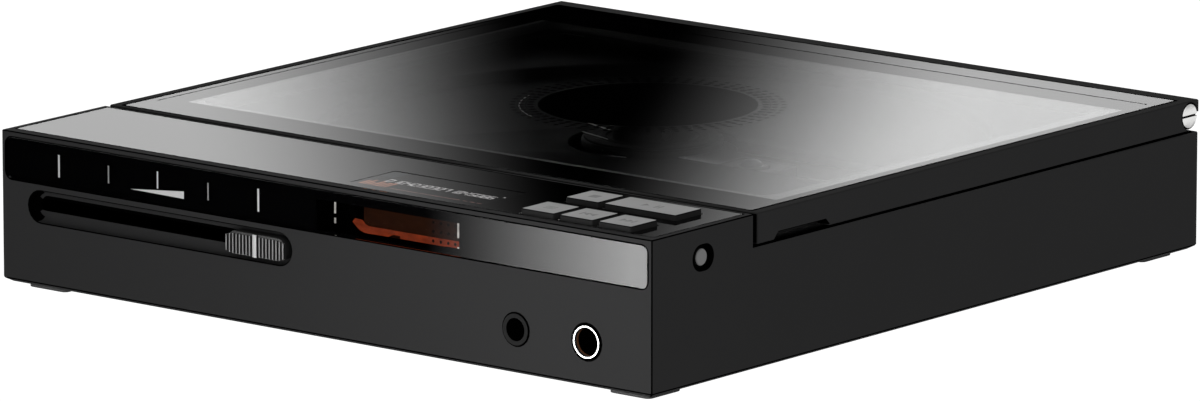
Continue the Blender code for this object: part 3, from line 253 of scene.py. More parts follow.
def printed_glass(name, clear_area, axis, printed_from, printed_to, bonded=False):
    """Clear glass, printed black on its inner face except over a clear area.

    The inner face is where the piece's own y or z, as the axis says, lies between two values. Where what is
    behind is bonded to the glass, that face mirrors nothing."""
    made, tree, shader = plain_material(name, 0.0, IOR=GLASS_IOR)
    x, y, z = object_place(tree)
    depth = z if axis == "z" else y
    clear = clear_area(tree, x, y if axis == "z" else z)
    inner = inside(tree, depth, printed_from, printed_to)
    printed = without(tree, inner, clear)
    if bonded:
        lessened = calculate(tree, "MULTIPLY", inner, GLASS_IOR - 1.0)
        tree.links.new(calculate(tree, "SUBTRACT", GLASS_IOR, lessened), shader.inputs["IOR"])
    grain = noise(tree, 0.0004)
    ink = mixed(tree, grain, (0.0008, 0.0008, 0.0009), (0.0016, 0.0016, 0.0018))
    tree.links.new(mixed(tree, printed, (0.94, 0.95, 0.95), ink), shader.inputs["Base Color"])
    tree.links.new(calculate(tree, "SUBTRACT", 1.0, printed), shader.inputs["Transmission Weight"])
    tree.links.new(calculate(tree, "MULTIPLY", printed, 0.35), shader.inputs["Roughness"])
    gloss = calculate(tree, "MULTIPLY", calculate(tree, "SUBTRACT", 1.0, printed), 0.5)
    tree.links.new(gloss, shader.inputs["Specular IOR Level"])
    return made


def tube_clear_area(tree, x, z):
    return rectangle(tree, x, z, TUBE_CLEAR_LOW, TUBE_CLEAR_HIGH)


ANODISED = grained(
    "anodised_aluminium", (0.043, 0.043, 0.0435), 0.6, 0.12 * MM, 0.002 * MM, vary=0.05, Specular_IOR_Level=0.01
)
# A grey a little darker than the anodised finish: painted shade on the lid's cut edges and on the tops of its
# rims.
PAINTED_RIM_SHADE = grained("painted_rim_shade", (0.034, 0.034, 0.034), 0.8, 0.3 * MM, 0.0, Specular_IOR_Level=0.02)
# Near-black: plain black lines on the glass and the tube tray, and painted shade as dark lines on cut edges and
# in recesses, gaps, slots and bores.
BLACK_AND_PAINTED_SHADE = grained("black_and_painted_shade", (0.0008, 0.0008, 0.0008), 0.8, 0.3 * MM, 0.0, Specular_IOR_Level=0.0)
BLACK_PLASTIC = grained("black_plastic", (0.012, 0.012, 0.012), 0.5, 0.25 * MM, 0.006 * MM, vary=0.15)
# The deck's black is darker than the other black plastic: painted shade for the dark inside of the disc well.
DECK_PLASTIC_PAINTED_SHADE = grained(
    "deck_plastic_painted_shade", (0.006, 0.006, 0.0065), 0.6, 0.4 * MM, 0.01 * MM, vary=0.12, Specular_IOR_Level=0.03
)
KEY_METAL = grained(
    "key_metal", (0.47, 0.47, 0.47), 0.5, 0.15 * MM, 0.003 * MM, vary=0.04, Specular_IOR_Level=0.2
)
# The keys' sides are much darker than their tops: painted shade.
KEY_SIDE_PAINTED_SHADE = grained(
    "key_side_painted_shade", (0.026, 0.026, 0.026), 0.6, 0.2 * MM, 0.0, vary=0.1, Specular_IOR_Level=0.05
)
POWER_METAL = grained(
    "power_metal", (0.33, 0.33, 0.33), 0.5, 0.15 * MM, 0.003 * MM, vary=0.04, Specular_IOR_Level=0.1
)
JACK_RIM = grained(
    "jack_rim", (0.023, 0.023, 0.023), 0.6, 0.2 * MM, 0.0, vary=0.08, Specular_IOR_Level=0.02
)
KEY_SIGN = grained("key_sign", (0.27, 0.27, 0.27), 0.6, 0.2 * MM, 0.0, vary=0.05)
HUB_PLASTIC = grained(
    "hub_plastic", (0.009, 0.009, 0.009), 0.5, 0.25 * MM, 0.004 * MM, vary=0.15, Specular_IOR_Level=0.12
)
# A rubber darker than the feet's: painted shade for the pad in the dark disc well.
HUB_RUBBER_PAINTED_SHADE = grained(
    "hub_rubber_painted_shade", (0.014, 0.014, 0.014), 0.8, 0.2 * MM, 0.008 * MM, vary=0.15, Specular_IOR_Level=0.1
)
STEEL = grained(
    "polished_steel", (0.72, 0.72, 0.73), 0.16, 0.3 * MM, 0.001 * MM, stretch=(1, 8, 1), Metallic=1.0
)
# Steel far darker than the polished steel: painted shade on the guide rods and the hub's balls inside the disc
# well.
STEEL_IN_PAINTED_SHADE = grained(
    "steel_in_painted_shade", (0.10, 0.10, 0.10), 0.35, 0.3 * MM, 0.001 * MM, stretch=(1, 8, 1), Metallic=1.0
)
SHEET_STEEL = grained(
    "sheet_steel", (0.42, 0.42, 0.43), 0.34, 0.25 * MM, 0.002 * MM, stretch=(10, 1, 1), Metallic=1.0
)
WHITE_METAL = grained(
    "bright_plating", (0.93, 0.93, 0.92), 0.28, 0.2 * MM, 0.001 * MM, vary=0.02, Metallic=1.0
)
BRASS = grained("gilt_brass", (0.80, 0.50, 0.25), 0.28, 0.2 * MM, 0.001 * MM, Metallic=1.0)
COPPER = grained("copper_contact", (0.20, 0.085, 0.04), 0.4, 0.2 * MM, 0.001 * MM)
RUBBER = grained("rubber", (0.05, 0.05, 0.05), 0.75, 0.2 * MM, 0.008 * MM, vary=0.15)
BOARD_GREEN = grained("circuit_board", (0.012, 0.07, 0.03), 0.4, 0.8 * MM, 0.01 * MM, vary=0.25)
WHITE_PLASTIC = grained("white_plastic", (0.72, 0.72, 0.70), 0.42, 0.3 * MM, 0.004 * MM, vary=0.04)
FOIL = grained("battery_foil", (0.28, 0.30, 0.33), 0.4, 0.7 * MM, 0.02 * MM, vary=0.1, Metallic=0.7)
LENS = grained("lens_coating", (0.006, 0.009, 0.035), 0.05, 0.5 * MM, 0.0, Coat_Weight=0.5)
# White and grey print on the scale and the knob's mark; the same two also give the painted highlight arc and
# glints under the lid's glass.
WHITE_INK_AND_PAINTED_GLINT = grained("white_ink_and_painted_glint", (0.75, 0.75, 0.75), 0.5, 0.2 * MM, 0.0, vary=0.03)
GREY_INK_AND_PAINTED_GLINT = grained("grey_ink_and_painted_glint", (0.30, 0.30, 0.30), 0.5, 0.2 * MM, 0.0, vary=0.03)
# Light grey on the knob's rib fronts: a painted highlight where the ribs catch light.
RIB_PAINTED_HIGHLIGHT = grained("rib_painted_highlight", (0.24, 0.24, 0.24), 0.45, 0.15 * MM, 0.0, vary=0.05)
LID_GLASS = printed_glass("lid_glass", lid_clear_area, "z", PANE_LOW.z - 0.01 * MM, PANE_LOW.z + 0.05 * MM)
PANEL_GLASS = printed_glass(
    "panel_glass", display_clear_area, "z", PANEL_LOW.z - 0.01 * MM, PANEL_LOW.z + 0.05 * MM, bonded=True
)
WINDOW_GLASS = printed_glass(
    "window_glass", tube_clear_area, "y", WINDOW_HIGH.y - 0.05 * MM, WINDOW_HIGH.y + 0.01 * MM, bonded=True
)


# Pieces


def finished(name, bm, materials, body, replaced=(), sharp=30.0):
    """Makes a bmesh a piece that rides on a body, smooth where its faces meet at less than an angle."""
    mesh = bpy.data.meshes.new(name)
    bm.to_mesh(mesh)
    bm.free()
    piece = bpy.data.objects.new(name, mesh)
    bpy.context.scene.collection.objects.link(piece)
    for made in materials:
        mesh.materials.append(made)
    mesh.shade_smooth()
    mesh.set_sharp_from_angle(angle=math.radians(sharp))
    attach(piece, body)
    if replaced:
        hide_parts(*replaced)
    return piece


def outer_edges(bm, least_turn):
    """Edges where two faces meet outwards at more than an angle."""
    found = []
    for edge in bm.edges:
        if len(edge.link_faces) == 2 and edge.calc_face_angle_signed(0.0) > least_turn:
            found.append(edge)
    return found


def crisp(node, width, materials, segments=1, sharp=28.0, kept=None):
    """A CAD node's shape with its outer edges cut back a little. The last material goes on the cuts.

    Kept is a function of a place. An edge whose middle it accepts stays as it is."""
    bm = bmesh.new()
    bm.from_mesh(NODES[node].data)
    bmesh.ops.remove_doubles(bm, verts=bm.verts[:], dist=0.000002)
    bmesh.ops.dissolve_limit(bm, angle_limit=math.radians(1.0), verts=bm.verts[:], edges=bm.edges[:])
    bm.normal_update()
    for face in bm.faces:
        face.material_index = 0
    cut = []
    for edge in outer_edges(bm, math.radians(40.0)):
        if kept is None or not kept((edge.verts[0].co + edge.verts[1].co) / 2):
            cut.append(edge)
    bmesh.ops.bevel(
        bm,
        geom=cut,
        offset=width,
        segments=segments,
        profile=0.5,
        affect="EDGES",
        clamp_overlap=False,
        material=len(materials) - 1,
    )
    return finished(node + "_finish", bm, materials, NODES[node]["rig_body"], (node,), sharp)


def add_block(bm, low, high, edge=0.0, corner=0.0, axis=2, material=0, edge_material=None):
    """Adds a box between two corners, with the edges along one axis rounded and then every edge cut."""
    low = Vector(low)
    high = Vector(high)
    part = bmesh.new()
    bmesh.ops.create_cube(part, size=1.0)
    bmesh.ops.scale(part, vec=high - low, verts=part.verts[:])
    bmesh.ops.translate(part, vec=(low + high) / 2, verts=part.verts[:])
    if corner:
        along = []
        for line in part.edges:
            run = line.verts[0].co - line.verts[1].co
            if abs(run[axis]) > run.length * 0.99:
                along.append(line)
        bmesh.ops.bevel(part, geom=along, offset=corner, segments=8, profile=0.5, affect="EDGES")
    if edge:
        bmesh.ops.bevel(
            part,
            geom=outer_edges(part, math.radians(40.0)),
            offset=edge,
            segments=2,
            profile=0.5,
            affect="EDGES",
            material=material if edge_material is None else edge_material,
        )
    merge(bm, part, material if not edge else None)
    return bm


def merge(bm, part, material=None):
    """Moves one bmesh's faces into another."""
    if material is not None:
        for face in part.faces:
            face.material_index = material
    mesh = bpy.data.meshes.new("part")
    part.to_mesh(mesh)
    part.free()
    bm.from_mesh(mesh)
    bpy.data.meshes.remove(mesh)


def add_lathe(bm, profile, place, direction, steps=64, material=0, bands=()):
    """Adds a turned shape. Its profile is (radius, height along the direction) points, down its outer side.

    Bands are (first point, material) pairs: from that point on, faces take that material."""
    part = bmesh.new()
    rows = []
    for radius, height in profile:
        if radius < 1e-7:
            rows.append([part.verts.new((0, 0, height))])
            continue
        row = []
        for step in range(steps):
            turn = 2 * math.pi * step / steps
            row.append(part.verts.new((radius * math.cos(turn), radius * math.sin(turn), height)))
        rows.append(row)
    for index, (upper, lower) in enumerate(zip(rows, rows[1:])):
        used = material
        for first, other in bands:
            if index >= first:
                used = other
        for step in range(steps):
            after = (step + 1) % steps
            corners = [
                upper[step % len(upper)],
                lower[step % len(lower)],
                lower[after % len(lower)],
                upper[after % len(upper)],
            ]
            corners = list(dict.fromkeys(corners))
            if len(corners) > 2:
                part.faces.new(corners).material_index = used
    bmesh.ops.recalc_face_normals(part, faces=part.faces[:])
    turn = Vector((0, 0, 1)).rotation_difference(Vector(direction)).to_matrix().to_4x4()
    bmesh.ops.transform(part, matrix=Matrix.Translation(place) @ turn, verts=part.verts[:])
    merge(bm, part)
    return bm


def add_plate(bm, points, low, high, upright=False, material=0):
    """Adds a flat outline with thickness: over x and y, or over x and z with y as its thickness."""
    part = bmesh.new()
    corners = []
    for first, second in points:
        corners.append(part.verts.new((first, low, second) if upright else (first, second, low)))
    face = part.faces.new(corners)
    lifted = bmesh.ops.extrude_face_region(part, geom=[face])
    moved = [item for item in lifted["geom"] if isinstance(item, bmesh.types.BMVert)]
    step = (0, high - low, 0) if upright else (0, 0, high - low)
    bmesh.ops.translate(part, vec=step, verts=moved)
    bmesh.ops.recalc_face_normals(part, faces=part.faces[:])
    merge(bm, part, material)
    return bm


def arc(centre, radius, start, end, steps):
    """Points on an arc, its angles in degrees."""
    points = []
    for step in range(steps + 1):
        turn = math.radians(start + (end - start) * step / steps)
        points.append((centre[0] + radius * math.cos(turn), centre[1] + radius * math.sin(turn)))
    return points


# The case, the lid and their glass


# The next five places take near-black painted shade on the case or the lid.
def in_power_dish(place):
    return place.x < CASE_HIGH.x - 0.01 * MM and place.x > 73 * MM and (
        abs(place.y + 65.0 * MM) < 3.0 * MM and abs(place.z - 23.6 * MM) < 2.6 * MM
    )


def in_volume_slot(place):
    in_depth = CASE_LOW.y + 1.9 * MM < place.y < -70 * MM
    return place.x < -6 * MM and in_depth and abs(place.z - 15.9 * MM) < 1.2 * MM


def in_tube_bay(place):
    inside_x = -2 * MM < place.x < 33 * MM
    return inside_x and 20 * MM < place.z < 26.2 * MM and WINDOW_HIGH.y + 0.3 * MM < place.y < -73.5 * MM


def in_finger_notch(place):
    return place.x > 68 * MM and -46.5 * MM < place.y < -28 * MM and place.z < 26.2 * MM


def in_channel_end(place):
    in_depth = CASE_LOW.y + 0.1 * MM < place.y < -76.8 * MM
    return place.x < -60 * MM and in_depth and 12 * MM < place.z < 19.5 * MM


def by_hinge_screw(place):
    return abs(place.x) > 72.0 * MM and place.y > 73.0 * MM and place.z < 28.85 * MM


def dress_case():
    edge = 0.20 * MM
    # The case's cut edges take the near-black: painted dark edge lines.
    case = crisp("base_housing", edge, [ANODISED, BLACK_AND_PAINTED_SHADE])
    # Painted shade, near-black: the power key's dish, the volume slot, the tube bay, the channel's end, the gap
    # behind the control strip and the ledge under the lid.
    for face in case.data.polygons:
        if in_power_dish(face.center) or in_volume_slot(face.center) or in_tube_bay(face.center):
            face.material_index = 1
        if in_channel_end(face.center) and face.normal.x > 0.3:
            face.material_index = 1
        if face.center.z > 22.8 * MM and abs(face.center.y + 51.1 * MM) < 0.15 * MM and face.normal.y > 0.9:
            face.material_index = 1
        if abs(face.center.z - 22.9 * MM) < 0.25 * MM and face.center.y > -50 * MM:
            face.material_index = 1 if face.normal.z > 0.9 else 0
    # The lid's cut edges take the painted shade grey.
    lid = crisp(
        "lid_frame", edge, [ANODISED, BLACK_AND_PAINTED_SHADE, PAINTED_RIM_SHADE], kept=by_hinge_screw
    )
    # Painted shade, near-black: the lid's front and underside at its gaps, the faces beside the glass and the
    # finger notch; its rim tops take the painted shade grey, and the cut edges at its bottom go back to the
    # anodised finish.
    for face in lid.data.polygons:
        x, y, z = face.center
        beside_glass = abs(x) < 73.2 * MM and y < 75.7 * MM and y > -49.3 * MM and z > 27.3 * MM
        if face.normal.y < -0.9 and y < LID_LOW.y + 0.1 * MM:
            face.material_index = 1
        elif face.normal.z < -0.9 and z < LID_LOW.z + 0.1 * MM:
            face.material_index = 1
        elif face.material_index == 2 and z < LID_LOW.z + 0.25 * MM:
            face.material_index = 0
        elif beside_glass and face.normal.z < 0.9:
            face.material_index = 1
        elif in_finger_notch(face.center) and face.normal.x < 0.9:
            face.material_index = 1
        elif face.normal.z > 0.9 and z > 28.8 * MM:
            face.material_index = 2
    # The bottom cover's cut edges take the near-black: painted dark edge lines.
    crisp("bottom_cover", edge, [ANODISED, BLACK_AND_PAINTED_SHADE])
    panes = {"lid_glass": LID_GLASS, "control_panel": PANEL_GLASS, "front_window": WINDOW_GLASS}
    for node, made in panes.items():
        pane = crisp(node, 0.06 * MM, [made])
        pane.visible_shadow = False
        centre = sum(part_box(node), Vector()) / 2
        for corner in pane.data.vertices:
            for axis, grow in enumerate(PANE_GROWTH[node]):
                away = (corner.co[axis] - centre[axis]) * grow
                corner.co[axis] += math.copysign(grow * MM, away)


def dress_lid_lines():
    """Two fine engraved lines on the lid's glass, and a painted highlight arc and two painted glints under it."""
    bm = bmesh.new()
    top = PANE_HIGH.z
    low_z = top - 0.01 * MM
    high_z = top + 0.005 * MM
    add_block(bm, (-70.9 * MM, -41.7 * MM, low_z), (-70.6 * MM, 68.6 * MM, high_z))
    add_block(bm, (-66.0 * MM, 68.8 * MM, low_z), (70.7 * MM, 69.2 * MM, high_z))
    finished("lid_engraved_lines", bm, [BLACK_AND_PAINTED_SHADE], "lid")

    bm = bmesh.new()
    half = 0.08 * MM
    # Painted highlight: the lit part of a ring under the glass, drawn as a thin light arc.
    outline = arc(LID_DISC_CENTRE, 23.4 * MM + half, 197, 245, 24)
    outline += arc(LID_DISC_CENTRE, 23.4 * MM - half, 245, 197, 24)
    level = PANE_LOW.z - 0.12 * MM
    add_plate(bm, outline, level, level + 0.01 * MM)
    # Two painted glints under the glass.
    glints = (((0.5, -6.5), (8.8, -9.4), 0.5, 0), ((5.9, -13.6), (13.8, -16.0), 0.35, 1))
    for (x0, y0), (x1, y1), width, ink in glints:
        glint = [(x0, y0), (x1, y1), (x1, y1 + width), (x0, y0 + width)]
        add_plate(bm, [(x * MM, y * MM) for x, y in glint], level, level + 0.01 * MM, material=ink)
    finished("lid_painted_highlight_arcs", bm, [WHITE_INK_AND_PAINTED_GLINT, GREY_INK_AND_PAINTED_GLINT], "lid")


def dress_hinge_screws():
    """The two slotted hinge screws: a bright head, and near-black painted shade in its slot and under it."""
    for name in ("left", "right"):
        low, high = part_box("hinge_screw_" + name)
        head_face = max(abs(low.x), abs(high.x))
        screw = crisp("hinge_screw_" + name, 0.05 * MM, [WHITE_METAL, BLACK_AND_PAINTED_SHADE])
        # Every face but the head's outer face takes the near-black: painted shade.
        for face in screw.data.polygons:
            facing_out = abs(face.normal.x) > 0.9 and abs(face.center.x) > head_face - 0.1 * MM
            face.material_index = 0 if facing_out else 1
        middle = (low + high) / 2
        for corner in screw.data.vertices:
            away = Vector((0, corner.co.y - middle.y, corner.co.z - middle.z))
            if abs(corner.co.x) > head_face - 0.6 * MM and abs(away.z) < 0.36 * MM:
                corner.co.z = middle.z + away.z * 0.55
            if away.length > 2.0 * MM:
                corner.co += away * 0.05


def dress_feet():
    """Rounded square pads with a soft rim."""
    for name in ("front_left", "front_right", "rear_left", "rear_right"):
        low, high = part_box("foot_" + name)
        bm = add_block(bmesh.new(), low, high, edge=0.18 * MM, corner=1.2 * MM)
        finished("pad_" + name, bm, [RUBBER], "base", ("foot_" + name,))


# The front face


def dress_volume():
    """The scale's marks and wedge, and the ribbed knob."""
    bm = bmesh.new()
    face = WINDOW_LOW.y
    marks = (
        (-61.2, 21.9, 26.0, 0.40, 0),
        (-49.35, 22.4, 25.6, 0.30, 1),
        (-37.7, 23.0, 26.1, 0.32, 0),
        (-25.8, 22.45, 25.6, 0.30, 1),
        (-14.05, 22.0, 26.1, 0.42, 0),
    )
    proud = face - 0.02 * MM
    for x, low, high, width, ink in marks:
        add_block(
            bm,
            ((x - width / 2) * MM, proud, low * MM),
            ((x + width / 2) * MM, face + 0.01 * MM, high * MM),
            material=ink,
        )
    wedge = [(-44.2 * MM, 22.08 * MM), (-31.5 * MM, 23.3 * MM), (-31.5 * MM, 21.95 * MM)]
    add_plate(bm, wedge, proud, face + 0.01 * MM, upright=True)
    finished("volume_scale", bm, [WHITE_INK_AND_PAINTED_GLINT, GREY_INK_AND_PAINTED_GLINT], "base")

    low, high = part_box("volume_knob")
    centre_x = (low.x + high.x) / 2
    shoulder = 0.42 * MM
    bm = bmesh.new()
    add_block(
        bm,
        (low.x, low.y + shoulder, 13.8 * MM),
        (high.x, CASE_LOW.y + 1.9 * MM, 18.0 * MM),
        edge=0.25 * MM,
        corner=1.6 * MM,
        axis=1,
    )
    add_block(
        bm,
        (centre_x - 3.0 * MM, CASE_LOW.y + 0.5 * MM, 15.3 * MM),
        (centre_x + 3.0 * MM, high.y, 16.5 * MM),
        edge=0.1 * MM,
    )
    rib_half = 0.14 * MM
    rib_pitch = 0.78 * MM
    for side in (-1, 1):
        for step in range(8):
            x = centre_x + side * (1.06 * MM + rib_pitch * (step + 0.1))
            drop = 0.35 * MM if step == 7 else 0.12 * MM if step == 6 else 0.0
            add_block(
                bm,
                (x - rib_half, low.y, 14.0 * MM + drop),
                (x + rib_half, low.y + shoulder + 0.1 * MM, 17.6 * MM - drop),
                edge=0.04 * MM,
                edge_material=1,
            )
    add_block(
        bm,
        (centre_x - 0.45 * MM, low.y, 13.85 * MM),
        (centre_x + 0.45 * MM, low.y + shoulder + 0.1 * MM, 17.95 * MM),
        edge=0.05 * MM,
    )
    # The ribs' fronts and cut edges take the painted highlight grey.
    knob_colours = [BLACK_PLASTIC, RIB_PAINTED_HIGHLIGHT, WHITE_INK_AND_PAINTED_GLINT]
    knob = finished("volume_slider", bm, knob_colours, "volume", ("volume_knob",))
    colour_knob(knob, centre_x, low.y)


def colour_knob(knob, centre_x, face_y):
    """The ribs' front faces are light grey, a painted highlight, and the mark in the middle is white."""
    for face in knob.data.polygons:
        if face.center.y < face_y + 0.06 * MM:
            face.material_index = 2 if abs(face.center.x - centre_x) < 0.6 * MM else 1


def dress_jacks():
    """Both headphone jacks: a collar, a deep bore and its contacts. The larger one has a bright ring."""
    front = CASE_LOW.y
    z = 9.1 * MM
    jacks = (("35", 44.8 * MM, 2.86 * MM, 2.04 * MM), ("44", 60.6 * MM, 2.62 * MM, 2.44 * MM))
    for node, x, sleeve, hole in jacks:
        low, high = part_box("headphone_jack_" + node)
        small = node == "35"
        rim = -0.22 * MM if small else 0.15 * MM
        bm = bmesh.new()
        # The outer chamfer, the bore and the parts behind take the near-black: painted shade; the larger jack's
        # bore mouth is copper.
        add_lathe(
            bm,
            [(hole, 12.0 * MM), (sleeve, 12.0 * MM), (sleeve, rim + 0.06 * MM), (sleeve - 0.06 * MM, rim),
             (hole + 0.04 * MM, rim), (hole, rim + 0.04 * MM), (hole, 0.7 * MM), (hole, 12.0 * MM)],
            (x, front, z),
            (0, 1, 0),
            bands=((0, 1), (3, 0), (5, 1 if small else 2), (6, 1)),
        )
        add_lathe(
            bm,
            [(0, 12.0 * MM), (hole + 0.1 * MM, 12.0 * MM), (hole + 0.1 * MM, 12.4 * MM), (0, 12.4 * MM)],
            (x, front, z),
            (0, 1, 0),
            material=1,
        )
        add_block(
            bm,
            (x - 4.0 * MM, front + 12.4 * MM, 4.4 * MM),
            (x + 4.0 * MM, high.y, 12.6 * MM),
            edge=0.2 * MM,
            material=1,
        )
        wall = 4.0 * MM - sleeve
        for side in (-1, 1):
            ends = sorted((x + side * sleeve, x + side * (sleeve + wall)))
            side_low = (ends[0], front + 5.3 * MM, 4.4 * MM)
            add_block(bm, side_low, (ends[1], front + 12.4 * MM, 12.6 * MM), material=1)
        finished(
            "jack_socket_" + node,
            bm,
            [JACK_RIM, BLACK_AND_PAINTED_SHADE, COPPER],
            "base",
            ("headphone_jack_" + node,),
        )
    # The bright ring's walls and back take the near-black: painted shade.
    bm = bmesh.new()
    add_lathe(
        bm,
        [(2.72 * MM, 1.4 * MM), (3.10 * MM, 1.4 * MM), (3.10 * MM, 0.5 * MM), (2.90 * MM, 0.3 * MM),
         (2.90 * MM, -0.18 * MM), (2.86 * MM, -0.22 * MM), (2.62 * MM, -0.22 * MM), (2.58 * MM, -0.18 * MM),
         (2.58 * MM, 0.10 * MM), (2.72 * MM, 0.12 * MM), (2.72 * MM, 1.4 * MM)],
        (60.6 * MM, front, z),
        (0, 1, 0),
        steps=96,
        material=1,
        bands=((5, 0), (7, 1)),
    )
    finished("jack_bright_ring", bm, [WHITE_METAL, BLACK_AND_PAINTED_SHADE], "base", ("jack_trim_ring",))


# The keys


def key_sign(bm, name, centre, top):
    """A plain sign on a key, as a thin inlay."""
    x, y = centre
    low = top - 0.01 * MM
    high = top + 0.006 * MM
    size = 0.95 * MM

    def triangle(at, way):
        back = at - way * size * 0.5
        return [(back, y - size), (at + way * size * 0.9, y), (back, y + size)]

    def bar(at, half=0.18 * MM, reach=size):
        left, right = at - half, at + half
        return [(left, y - reach), (right, y - reach), (right, y + reach), (left, y + reach)]

    shapes = {
        "button_previous": [triangle(x + 1.0 * MM, -1), triangle(x - 0.35 * MM, -1), bar(x - 1.45 * MM)],
        "button_next": [triangle(x - 1.0 * MM, 1), triangle(x + 0.35 * MM, 1), bar(x + 1.45 * MM)],
        "button_stop": [bar(x, half=size, reach=size)],
        "button_mode": [
            [(x - 1.1 * MM, y + dy - 0.15 * MM), (x + 1.1 * MM, y + dy - 0.15 * MM),
             (x + 1.1 * MM, y + dy + 0.15 * MM), (x - 1.1 * MM, y + dy + 0.15 * MM)]
            for dy in (-0.7 * MM, 0.0, 0.7 * MM)
        ],
        "button_play": [
            triangle(x - 1.6 * MM, 1), bar(x + 0.9 * MM, 0.22 * MM), bar(x + 1.7 * MM, 0.22 * MM)
        ],
    }
    for points in shapes[name]:
        add_plate(bm, points, low, high, material=2)


def dress_keys():
    """Five flat keys with a fine cut rim, painted near-black as an edge line, and the round power key; their
    sides take painted shade.
    """
    for node in ("button_mode", "button_previous", "button_next", "button_stop", "button_play"):
        low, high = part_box(node)
        cap_low = 26.05 * MM
        bm = bmesh.new()
        add_block(bm, (low.x, low.y, cap_low), high, edge=0.14 * MM, corner=0.35 * MM, edge_material=1)
        centre = ((low.x + high.x) / 2, (low.y + high.y) / 2)
        key_sign(bm, node, centre, high.z)
        stem = [(0, 26.2 * MM), (1.2 * MM, 26.2 * MM), (1.2 * MM, low.z), (0, low.z)]
        add_lathe(bm, stem, (*centre, 0), (0, 0, 1), 32, 1)
        name = "key_" + node.split("_")[1]
        key = finished(
            name, bm, [KEY_METAL, KEY_SIDE_PAINTED_SHADE, KEY_SIGN, BLACK_AND_PAINTED_SHADE], NODES[node]["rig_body"], (node,)
        )
        # Painted shade: the cut rim at the top is near-black, and the sides below the top take the darker key
        # grey.
        for face in key.data.polygons:
            if face.material_index == 1 and face.center.z > high.z - 0.20 * MM:
                face.material_index = 3
            elif face.center.z < high.z - 0.05 * MM:
                face.material_index = 1

    low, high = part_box("power_button")
    face = high.x
    radius = 1.5 * MM
    bm = bmesh.new()
    # The power key's sides take the painted shade of the keys' sides.
    add_lathe(
        bm,
        [(0, face + 0.01 * MM), (1.15 * MM, face), (1.4 * MM, face - 0.06 * MM), (radius, face - 0.22 * MM),
         (radius, low.x + 1.0 * MM), (1.0 * MM, low.x + 1.0 * MM), (1.0 * MM, low.x), (0, low.x)],
        (0, -65.0 * MM, 23.6 * MM),
        (1, 0, 0),
        bands=((3, 1),),
    )
    finished("power_key", bm, [POWER_METAL, KEY_SIDE_PAINTED_SHADE], "key_power", ("power_button",))


# The tube bay and the display


def glowing(name, colour, strength, base=(0.01, 0.01, 0.01)):
    made, tree, shader = plain_material(name, 0.8, Specular_IOR_Level=0.0)
    shader.inputs["Emission Strength"].default_value = strength
    patch = noise(tree, 1.2 * MM, stretch=(2.0, 1.0, 1.0))
    dim = tuple(part * 0.45 for part in colour)
    tree.links.new(mixed(tree, between(tree, patch, 0.0, 1.0), dim, colour), shader.inputs["Emission Color"])
    shader.inputs["Base Color"].default_value = (*base, 1.0)
    return made


STRIP = (
    (28.2, 21.94), (7.9, 21.94), (7.5, 22.0), (6.9, 22.2),
    (6.3, 22.8), (4.6, 22.94), (3.97, 22.27), (5.0, 21.44),
    (5.8, 20.95), (7.4, 20.55), (12.1, 20.7), (13.3, 21.2), (14.9, 21.2), (14.9, 20.7), (28.2, 20.7),
)


